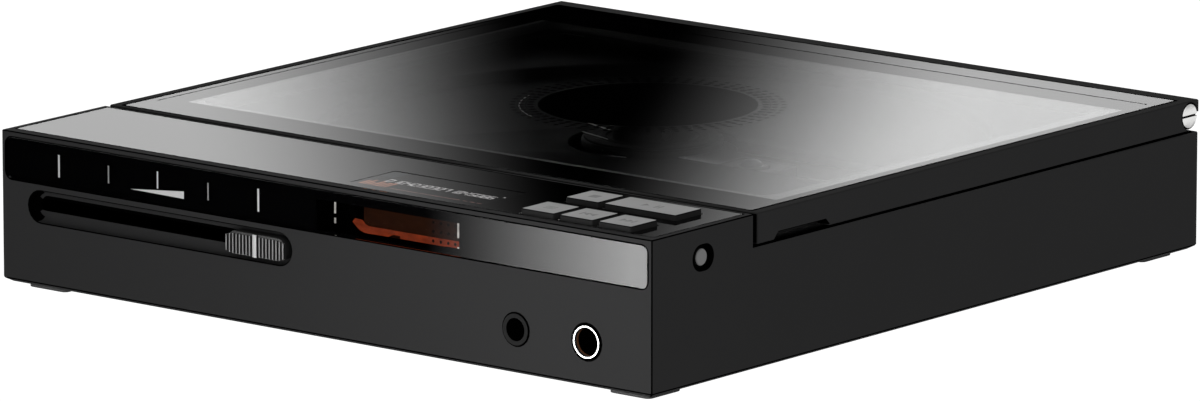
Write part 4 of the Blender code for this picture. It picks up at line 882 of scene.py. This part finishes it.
def dress_tubes():
    """Two small tubes: a glass bulb each, over a brown plate with a painted glow, dark discs of painted shade for
    its holes, a glowing strip and its painted glints.
    """
    tube_glass, tree, shader = plain_material("tube_glass", 0.02, IOR=1.03, Transmission_Weight=1.0)
    tint = mixed(tree, noise(tree, 3 * MM), (0.95, 0.93, 0.90), (1.0, 0.98, 0.96))
    tree.links.new(tint, shader.inputs["Base Color"])
    # The plate glows dim brown though it is no lamp: painted glow.
    plate_painted_glow = glowing("tube_plate_painted_glow", (0.0125, 0.0032, 0.0009), 1.0, (0.008, 0.004, 0.003))
    glow = glowing("tube_glow", (0.20, 0.026, 0.006), 1.0)
    # Dark discs stand for the plate's holes: painted shade.
    hole = grained("tube_hole_painted_shade", (0.0015, 0.001, 0.001), 0.8, 0.3 * MM, 0.0, Specular_IOR_Level=0.05)
    # Glowing white strokes: painted glints on the bulb's ends.
    glint = glowing("tube_glint", (0.55, 0.53, 0.50), 1.0)
    for name in ("front", "rear"):
        low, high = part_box("tube_" + name)
        centre = Vector((0, (low.y + high.y) / 2, (low.z + high.z) / 2))
        radius = (high.z - low.z) / 2
        bm = bmesh.new()
        profile = [(0.0, high.x)]
        for step in range(1, 13):
            turn = math.radians(90 * step / 12)
            profile.append((radius * math.sin(turn), high.x - radius * (1 - math.cos(turn))))
        for step in range(0, 9):
            turn = math.radians(90 * step / 8)
            profile.append((radius * (0.35 + 0.65 * math.cos(turn)), low.x + radius * (1 - math.sin(turn))))
        profile.append((0.0, low.x))
        add_lathe(bm, profile, (0, centre.y, centre.z), (1, 0, 0), steps=48)
        bulb = finished("tube_bulb_" + name, bm, [tube_glass], "base", ("tube_" + name,))
        bulb.visible_shadow = False
        bm = bmesh.new()
        y = centre.y
        ahead = name == "front"
        shift = TUBE_WORKS_SHIFT
        plate_ends = (6.5 * MM + shift, 28.0 * MM + shift) if ahead else (11 * MM, 24 * MM)
        add_block(bm, (plate_ends[0], y, 20.9 * MM), (plate_ends[1], y + 0.7 * MM, 25.3 * MM), edge=0.12 * MM)
        if ahead:
            strip = [(x * MM + shift, z * MM) for x, z in STRIP]
            add_plate(bm, strip, y - 0.16 * MM, y - 0.04 * MM, upright=True, material=1)
            dot = [(0, 0.2 * MM), (0.28 * MM, 0.2 * MM), (0.28 * MM, 0), (0, 0)]
            for z in (24.56 * MM, 22.98 * MM, 21.34 * MM):
                for x in (22.44 * MM, 24.15 * MM, 25.8 * MM, 27.4 * MM):
                    place = (x + shift, y, z)
                    add_lathe(bm, dot, place, (0, -1, 0), 16, 2)
            # Painted glints: thin glowing white strokes at the bulb's two ends.
            glint_strokes = ((0.0, 23.2, 25.2), (0.0, 21.5, 22.4), (28.1, 22.55, 25.4), (28.1, 20.7, 20.95))
            for x, bottom, top in glint_strokes:
                add_block(
                    bm,
                    ((x - 0.17) * MM + shift, y - 0.3 * MM, bottom * MM),
                    ((x + 0.17) * MM + shift, y - 0.1 * MM, top * MM),
                    material=3,
                )
        finished("tube_works_" + name, bm, [plate_painted_glow, glow, hole, glint], "base")


SEGMENTS = {
    "0": "abcdef", "1": "bc", "2": "abged", "3": "abgcd", "4": "fgbc",
    "5": "afgcd", "6": "afgedc", "7": "abc", "8": "abcdefg", "9": "abcdfg",
}


def add_digit(bm, digit, x, y, size, top, material):
    """One digit of seven straight segments."""
    width = size * 0.5
    half = size * 0.07
    bars = {
        "a": (0, size, width, size), "d": (0, 0, width, 0), "g": (0, size / 2, width, size / 2),
        "f": (0, size / 2, 0, size), "e": (0, 0, 0, size / 2),
        "b": (width, size / 2, width, size), "c": (width, 0, width, size / 2),
    }
    for name in SEGMENTS[digit]:
        x0, y0, x1, y1 = bars[name]
        add_block(
            bm,
            (x + x0 - half, y + y0 - half, top),
            (x + x1 + half, y + y1 + half, top + 0.01 * MM),
            material=material,
        )


def dress_display():
    """The display under the panel: a row of digits, an amber level meter and a progress line."""
    low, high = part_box("display_module")
    face, tree, shader = plain_material("display_face", 0.5, Specular_IOR_Level=0.03)
    ink = mixed(tree, noise(tree, 0.5 * MM), (0.0010, 0.0011, 0.0013), (0.0018, 0.0019, 0.0022))
    tree.links.new(ink, shader.inputs["Base Color"])
    bm = add_block(bmesh.new(), low, high, edge=0.05 * MM)
    finished("display_screen", bm, [face], "base", ("display_module",))

    digits = glowing("display_white", (0.85, 0.82, 0.82), 1.0)
    amber = glowing("display_amber", (0.42, 0.18, 0.11), 1.0)
    pink = glowing("display_pink", (0.34, 0.18, 0.16), 1.0)
    blue = glowing("display_blue", (0.014, 0.018, 0.024), 1.0)
    level = PANEL_LOW.z - 0.20 * MM
    top = level + 0.08 * MM
    bm = add_block(bmesh.new(), (*SCREEN_LOW, level), (*SCREEN_HIGH, top))
    row = -69.4 * MM
    x = 7.1 * MM
    for sign in "01" + "0423" + "032718" + "45086":
        add_digit(bm, sign, x, row, 1.9 * MM, top, 1)
        x += 1.44 * MM
    for column in range(7):
        reach = (0.45 + 0.5 * abs(math.sin(1.3 * column + 0.6))) * 4.2 * MM
        x = (4.2 + 0.92 * column) * MM
        add_block(bm, (x, -73.3 * MM, top), (x + 0.66 * MM, -73.3 * MM + reach, top + 0.01 * MM), material=2)
    add_block(bm, (11.6 * MM, -73.5 * MM, top), (27.5 * MM, -73.28 * MM, top + 0.01 * MM), material=3)
    for x in (28.2, 29.8, 31.4):
        add_block(bm, (x * MM, -73.5 * MM, top), ((x + 1.0) * MM, -73.28 * MM, top + 0.01 * MM), material=3)
    add_block(bm, (3.5 * MM, -66.3 * MM, top), (6.4 * MM, -62.3 * MM, top + 0.006 * MM), material=4)
    add_block(bm, (32.1 * MM, -67.2 * MM, top), (32.5 * MM, -66.7 * MM, top + 0.01 * MM), material=1)
    finished("display_picture", bm, [face, digits, amber, pink, blue], "base")

    bm = bmesh.new()
    low_z = PANEL_HIGH.z - 0.01 * MM
    high_z = PANEL_HIGH.z + 0.004 * MM
    add_block(bm, (3.3 * MM, -74.4 * MM, low_z), (3.55 * MM, -62.2 * MM, high_z))
    add_block(bm, (3.3 * MM, -62.55 * MM, low_z), (33.3 * MM, -62.15 * MM, high_z))
    finished("display_outline", bm, [BLACK_AND_PAINTED_SHADE], "base")


# The disc drive


def dress_drive():
    fine = 0.08 * MM
    # The deck takes the darkened plastic: painted shade.
    crisp("deck_plate", 0.2 * MM, [DECK_PLASTIC_PAINTED_SHADE], segments=2)
    crisp("glass_retainer", fine, [BLACK_PLASTIC])
    crisp("traverse_chassis", fine, [SHEET_STEEL])
    crisp("pickup_sled", 0.12 * MM, [BLACK_PLASTIC], segments=2)
    for node in ("sled_rack", "reduction_gear", "motor_pinion"):
        crisp(node, 0.06 * MM, [WHITE_PLASTIC])
    for node in ("hinge_knuckle_left", "hinge_knuckle_right"):
        crisp(node, fine, [SHEET_STEEL])

    low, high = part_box("turntable_hub")
    bm = bmesh.new()
    top = high.z
    add_lathe(
        bm,
        [(0, top - 0.5 * MM), (2.2 * MM, top - 0.5 * MM), (2.6 * MM, top - 0.1 * MM), (4.8 * MM, top),
         (5.6 * MM, top - 0.1 * MM), (6.5 * MM, top - 0.5 * MM), (7.15 * MM, top - 1.3 * MM),
         (7.3 * MM, top - 1.8 * MM), (7.3 * MM, 21.6 * MM),
         (7.4 * MM, 21.5 * MM), (12.7 * MM, 21.5 * MM), (12.95 * MM, 21.35 * MM), (13.0 * MM, 21.1 * MM),
         (13.0 * MM, 20.3 * MM), (5.0 * MM, 19.5 * MM), (5.0 * MM, 18.0 * MM), (0.8 * MM, 18.0 * MM),
         (0.8 * MM, low.z), (0, low.z)],
        (WELL_CENTRE.x, WELL_CENTRE.y, 0),
        (0, 0, 1),
        steps=96,
    )
    for step in range(3):
        turn = math.radians(90 + 120 * step)
        ball = bmesh.new()
        bmesh.ops.create_uvsphere(ball, u_segments=24, v_segments=16, radius=1.1 * MM)
        reach = 6.7 * MM
        place = (reach * math.cos(turn), WELL_CENTRE.y + reach * math.sin(turn), top - 1.8 * MM)
        bmesh.ops.translate(ball, vec=place, verts=ball.verts[:])
        merge(bm, ball, 1)
    # The hub's balls take the steel darkened as painted shade.
    finished("disc_hub", bm, [HUB_PLASTIC, STEEL_IN_PAINTED_SHADE], "turntable", ("turntable_hub",))

    bm = bmesh.new()
    low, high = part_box("hub_ring")
    add_lathe(
        bm,
        [(8.5 * MM, low.z), (8.6 * MM, high.z), (9.4 * MM, high.z), (9.6 * MM, high.z - 0.12 * MM),
         (10.2 * MM, high.z - 0.12 * MM),
         (10.4 * MM, high.z), (12.4 * MM, high.z), (12.5 * MM, low.z), (8.5 * MM, low.z)],
        (WELL_CENTRE.x, WELL_CENTRE.y, 0),
        (0, 0, 1),
        steps=96,
    )
    # The hub's pad takes the darkened rubber: painted shade.
    finished("hub_pad", bm, [HUB_RUBBER_PAINTED_SHADE], "turntable", ("hub_ring",))

    bm = bmesh.new()
    low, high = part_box("objective_lens")
    centre = (low + high) / 2
    profile = [(0, 20.4 * MM)]
    for step in range(1, 9):
        turn = math.radians(90 * step / 8)
        profile.append((2.0 * MM * math.sin(turn), 19.4 * MM + 1.0 * MM * math.cos(turn)))
    profile += [
        (2.3 * MM, 19.3 * MM), (3.0 * MM, 19.3 * MM), (3.1 * MM, 19.2 * MM), (3.1 * MM, low.z), (0, low.z)
    ]
    add_lathe(bm, profile, (centre.x, centre.y, 0), (0, 0, 1), bands=((9, 1),))
    finished("pickup_lens", bm, [LENS, BLACK_PLASTIC], "sled", ("objective_lens",))

    for name in ("front", "rear"):
        low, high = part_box("guide_rod_" + name)
        radius = (high.z - low.z) / 2
        bm = bmesh.new()
        add_lathe(
            bm,
            [(0, high.x), (radius - 0.15 * MM, high.x), (radius, high.x - 0.15 * MM), (radius, low.x + 0.15 * MM),
             (radius - 0.15 * MM, low.x), (0, low.x)],
            (0, (low.y + high.y) / 2, (low.z + high.z) / 2),
            (1, 0, 0),
            steps=48,
        )
        # The guide rods take the steel darkened as painted shade.
        finished("sled_rod_" + name, bm, [STEEL_IN_PAINTED_SHADE], "base", ("guide_rod_" + name,))


def paint_the_rest():
    """The CAD nodes that stay as they are get their finishes."""
    finishes = {
        # The tube tray takes the near-black: painted shade in the tube bay.
        BLACK_AND_PAINTED_SHADE: ("tube_tray",),
        BLACK_PLASTIC: ("volume_fader", "power_switch", "line_out_jack"),
        BOARD_GREEN: ("main_board", "button_board"),
        SHEET_STEEL: ("spindle_motor", "sled_motor"),
        STEEL: (
            "usb_socket", "cover_screw_front_left", "cover_screw_front_right", "cover_screw_rear_left",
            "cover_screw_rear_right",
        ),
        RUBBER: ("chassis_damper_left", "chassis_damper_rear", "chassis_damper_right"),
        FOIL: ("battery",),
        BRASS: ("fader_wiper",),
    }
    for made, names in finishes.items():
        for name in names:
            node = NODES[name]
            node.data.materials.clear()
            node.data.materials.append(made)


# The studio


def emission_material(name):
    made = bpy.data.materials.new(name)
    made.use_nodes = True
    tree = made.node_tree
    tree.nodes.clear()
    output = tree.nodes.new("ShaderNodeOutputMaterial")
    light = tree.nodes.new("ShaderNodeEmission")
    tree.links.new(light.outputs[0], output.inputs[0])
    return made, tree, light, output


def make_floor():
    """A pale floor that is white from above. It lets the view through from below."""
    bm = bmesh.new()
    bmesh.ops.create_grid(bm, x_segments=1, y_segments=1, size=9.0)
    mesh = bpy.data.meshes.new("floor")
    bm.to_mesh(mesh)
    bm.free()
    floor = bpy.data.objects.new("floor", mesh)
    bpy.context.scene.collection.objects.link(floor)
    floor.location.z = -0.0001
    made, tree, light, output = emission_material("pale_floor")
    light.inputs["Strength"].default_value = 1.1
    away = tree.nodes.new("ShaderNodeBsdfTransparent")
    facing = tree.nodes.new("ShaderNodeNewGeometry")
    both = tree.nodes.new("ShaderNodeMixShader")
    tree.links.new(facing.outputs["Backfacing"], both.inputs[0])
    tree.links.new(light.outputs[0], both.inputs[1])
    tree.links.new(away.outputs[0], both.inputs[2])
    tree.links.new(both.outputs[0], output.inputs[0])
    mesh.materials.append(made)
    floor.visible_diffuse = False
    floor.visible_glossy = False
    floor.visible_transmission = False


def make_card(name, centre, facing, width, height, brightness):
    """A lit card that only reflections see. A function of its own x and y gives its brightness."""
    bm = bmesh.new()
    bmesh.ops.create_grid(bm, x_segments=1, y_segments=1, size=0.5)
    bmesh.ops.scale(bm, vec=(width, height, 1.0), verts=bm.verts[:])
    mesh = bpy.data.meshes.new(name)
    bm.to_mesh(mesh)
    bm.free()
    card = bpy.data.objects.new(name, mesh)
    bpy.context.scene.collection.objects.link(card)
    turn = Vector(facing).to_track_quat("Z", "Y").to_matrix().to_4x4()
    card.matrix_world = Matrix.Translation(centre) @ turn
    made, tree, light, output = emission_material(name)
    x, y, z = object_place(tree)
    tree.links.new(brightness(tree, x, y), light.inputs["Strength"])
    mesh.materials.append(made)
    card.visible_camera = False
    card.visible_diffuse = False
    card.visible_shadow = False


def rise(tree, value, start, end, brightest, kind="SMOOTHSTEP"):
    """Brightness that rises from none to its full value between two places."""
    node = tree.nodes.new("ShaderNodeMapRange")
    node.interpolation_type = kind
    tree.links.new(value, node.inputs["Value"])
    node.inputs["From Min"].default_value = start
    node.inputs["From Max"].default_value = end
    node.inputs["To Min"].default_value = 0.0
    node.inputs["To Max"].default_value = brightest
    return node.outputs[0]


def soft_rise(tree, value, start, end, brightest):
    """A rise with a long dim start."""
    share = rise(tree, value, start, end, 1.0)
    return calculate(tree, "MULTIPLY", calculate(tree, "POWER", share, 1.5), brightest)


def brightness_behind(tree, x, y):
    """Two bright sides with a dark band between them, which narrows upwards."""
    left = calculate(tree, "SUBTRACT", calculate(tree, "MULTIPLY", y, BAND_LEAN_LEFT), x)
    right = calculate(tree, "ADD", calculate(tree, "MULTIPLY", y, BAND_LEAN_RIGHT), x)
    return calculate(
        tree, "ADD", soft_rise(tree, left, 0.010, 0.113, 1.28), soft_rise(tree, right, 0.000, 0.095, 1.25)
    )


def brightness_in_front(tree, x, y):
    """Black behind the window's left half, and ever brighter towards its right end."""
    share = rise(tree, calculate(tree, "MULTIPLY", x, -1.0), 0.0102, 0.0561, 1.0, "LINEAR")
    return calculate(tree, "MULTIPLY", calculate(tree, "POWER", share, 1.5), FRONT_CARD_BRIGHTNESS)


def brightness_beside(tree, x, y):
    return calculate(tree, "ADD", calculate(tree, "MULTIPLY", y, 0.5), 0.95)


def make_lights():
    """Even grey surroundings, a soft lamp by the front right, and three cards to be reflected."""
    world = bpy.data.worlds.new("studio")
    bpy.context.scene.world = world
    world.use_nodes = True
    tree = world.node_tree
    tree.nodes.clear()
    output = tree.nodes.new("ShaderNodeOutputWorld")
    grey = tree.nodes.new("ShaderNodeBackground")
    white = tree.nodes.new("ShaderNodeBackground")
    path = tree.nodes.new("ShaderNodeLightPath")
    both = tree.nodes.new("ShaderNodeMixShader")
    grey.inputs["Color"].default_value = (1.0, 1.0, 1.0, 1.0)
    grey.inputs["Strength"].default_value = WORLD_GREY
    white.inputs["Color"].default_value = (1.0, 1.0, 1.0, 1.0)
    white.inputs["Strength"].default_value = 1.1
    tree.links.new(path.outputs["Is Camera Ray"], both.inputs[0])
    tree.links.new(grey.outputs[0], both.inputs[1])
    tree.links.new(white.outputs[0], both.inputs[2])
    tree.links.new(both.outputs[0], output.inputs[0])

    def lamp(name, place, target, power, size):
        data = bpy.data.lights.new(name, "AREA")
        data.shape = "RECTANGLE"
        data.size, data.size_y = size
        data.energy = power
        made = bpy.data.objects.new(name, data)
        made.location = place
        heading = Vector(target) - Vector(place)
        made.rotation_mode = "QUATERNION"
        made.rotation_quaternion = heading.to_track_quat("-Z", "Y")
        bpy.context.scene.collection.objects.link(made)
        made.visible_camera = False
        return made

    front_lamp = lamp("front_lamp", (0.070, -0.185, 0.02), (0.070, -0.08, 0.016), 0.055, (0.04, 0.04))
    front_lamp.visible_glossy = False

    ahead = CAMERA_HEADING
    from_top = Vector((ahead.x, ahead.y, -ahead.z))
    lid_centre = Vector((0, 0, CASE_HIGH.z))
    make_card("card_behind", lid_centre + from_top * 0.9, -from_top, 1.2, 0.5, brightness_behind)
    from_front = Vector((ahead.x, -ahead.y, ahead.z))
    window_centre = Vector((0, CASE_LOW.y, 0.024))
    make_card("card_in_front", window_centre + from_front * 0.5, -from_front, 0.9, 0.5, brightness_in_front)
    from_side = Vector((-ahead.x, ahead.y, ahead.z))
    side_centre = Vector((CASE_HIGH.x, 0.0, 0.026))
    make_card("card_beside", side_centre + from_side * 0.6, -from_side, 0.5, 0.3, brightness_beside)


def make_camera():
    data = bpy.data.cameras.new("camera")
    data.sensor_width = 36.0
    data.lens = CAMERA_LENS
    data.shift_x, data.shift_y = CAMERA_SHIFT
    data.clip_start = 0.05
    data.clip_end = 50.0
    camera = bpy.data.objects.new("camera", data)
    camera.location = CAMERA_PLACE
    camera.rotation_mode = "QUATERNION"
    camera.rotation_quaternion = CAMERA_HEADING.to_track_quat("-Z", "Y")
    bpy.context.scene.collection.objects.link(camera)
    bpy.context.scene.camera = camera


make_camera()
make_floor()
make_lights()
dress_case()
dress_lid_lines()
dress_hinge_screws()
dress_feet()
dress_volume()
dress_jacks()
dress_keys()
dress_tubes()
dress_display()
dress_drive()
paint_the_rest()
bpy.context.scene.view_settings.view_transform = "Standard"
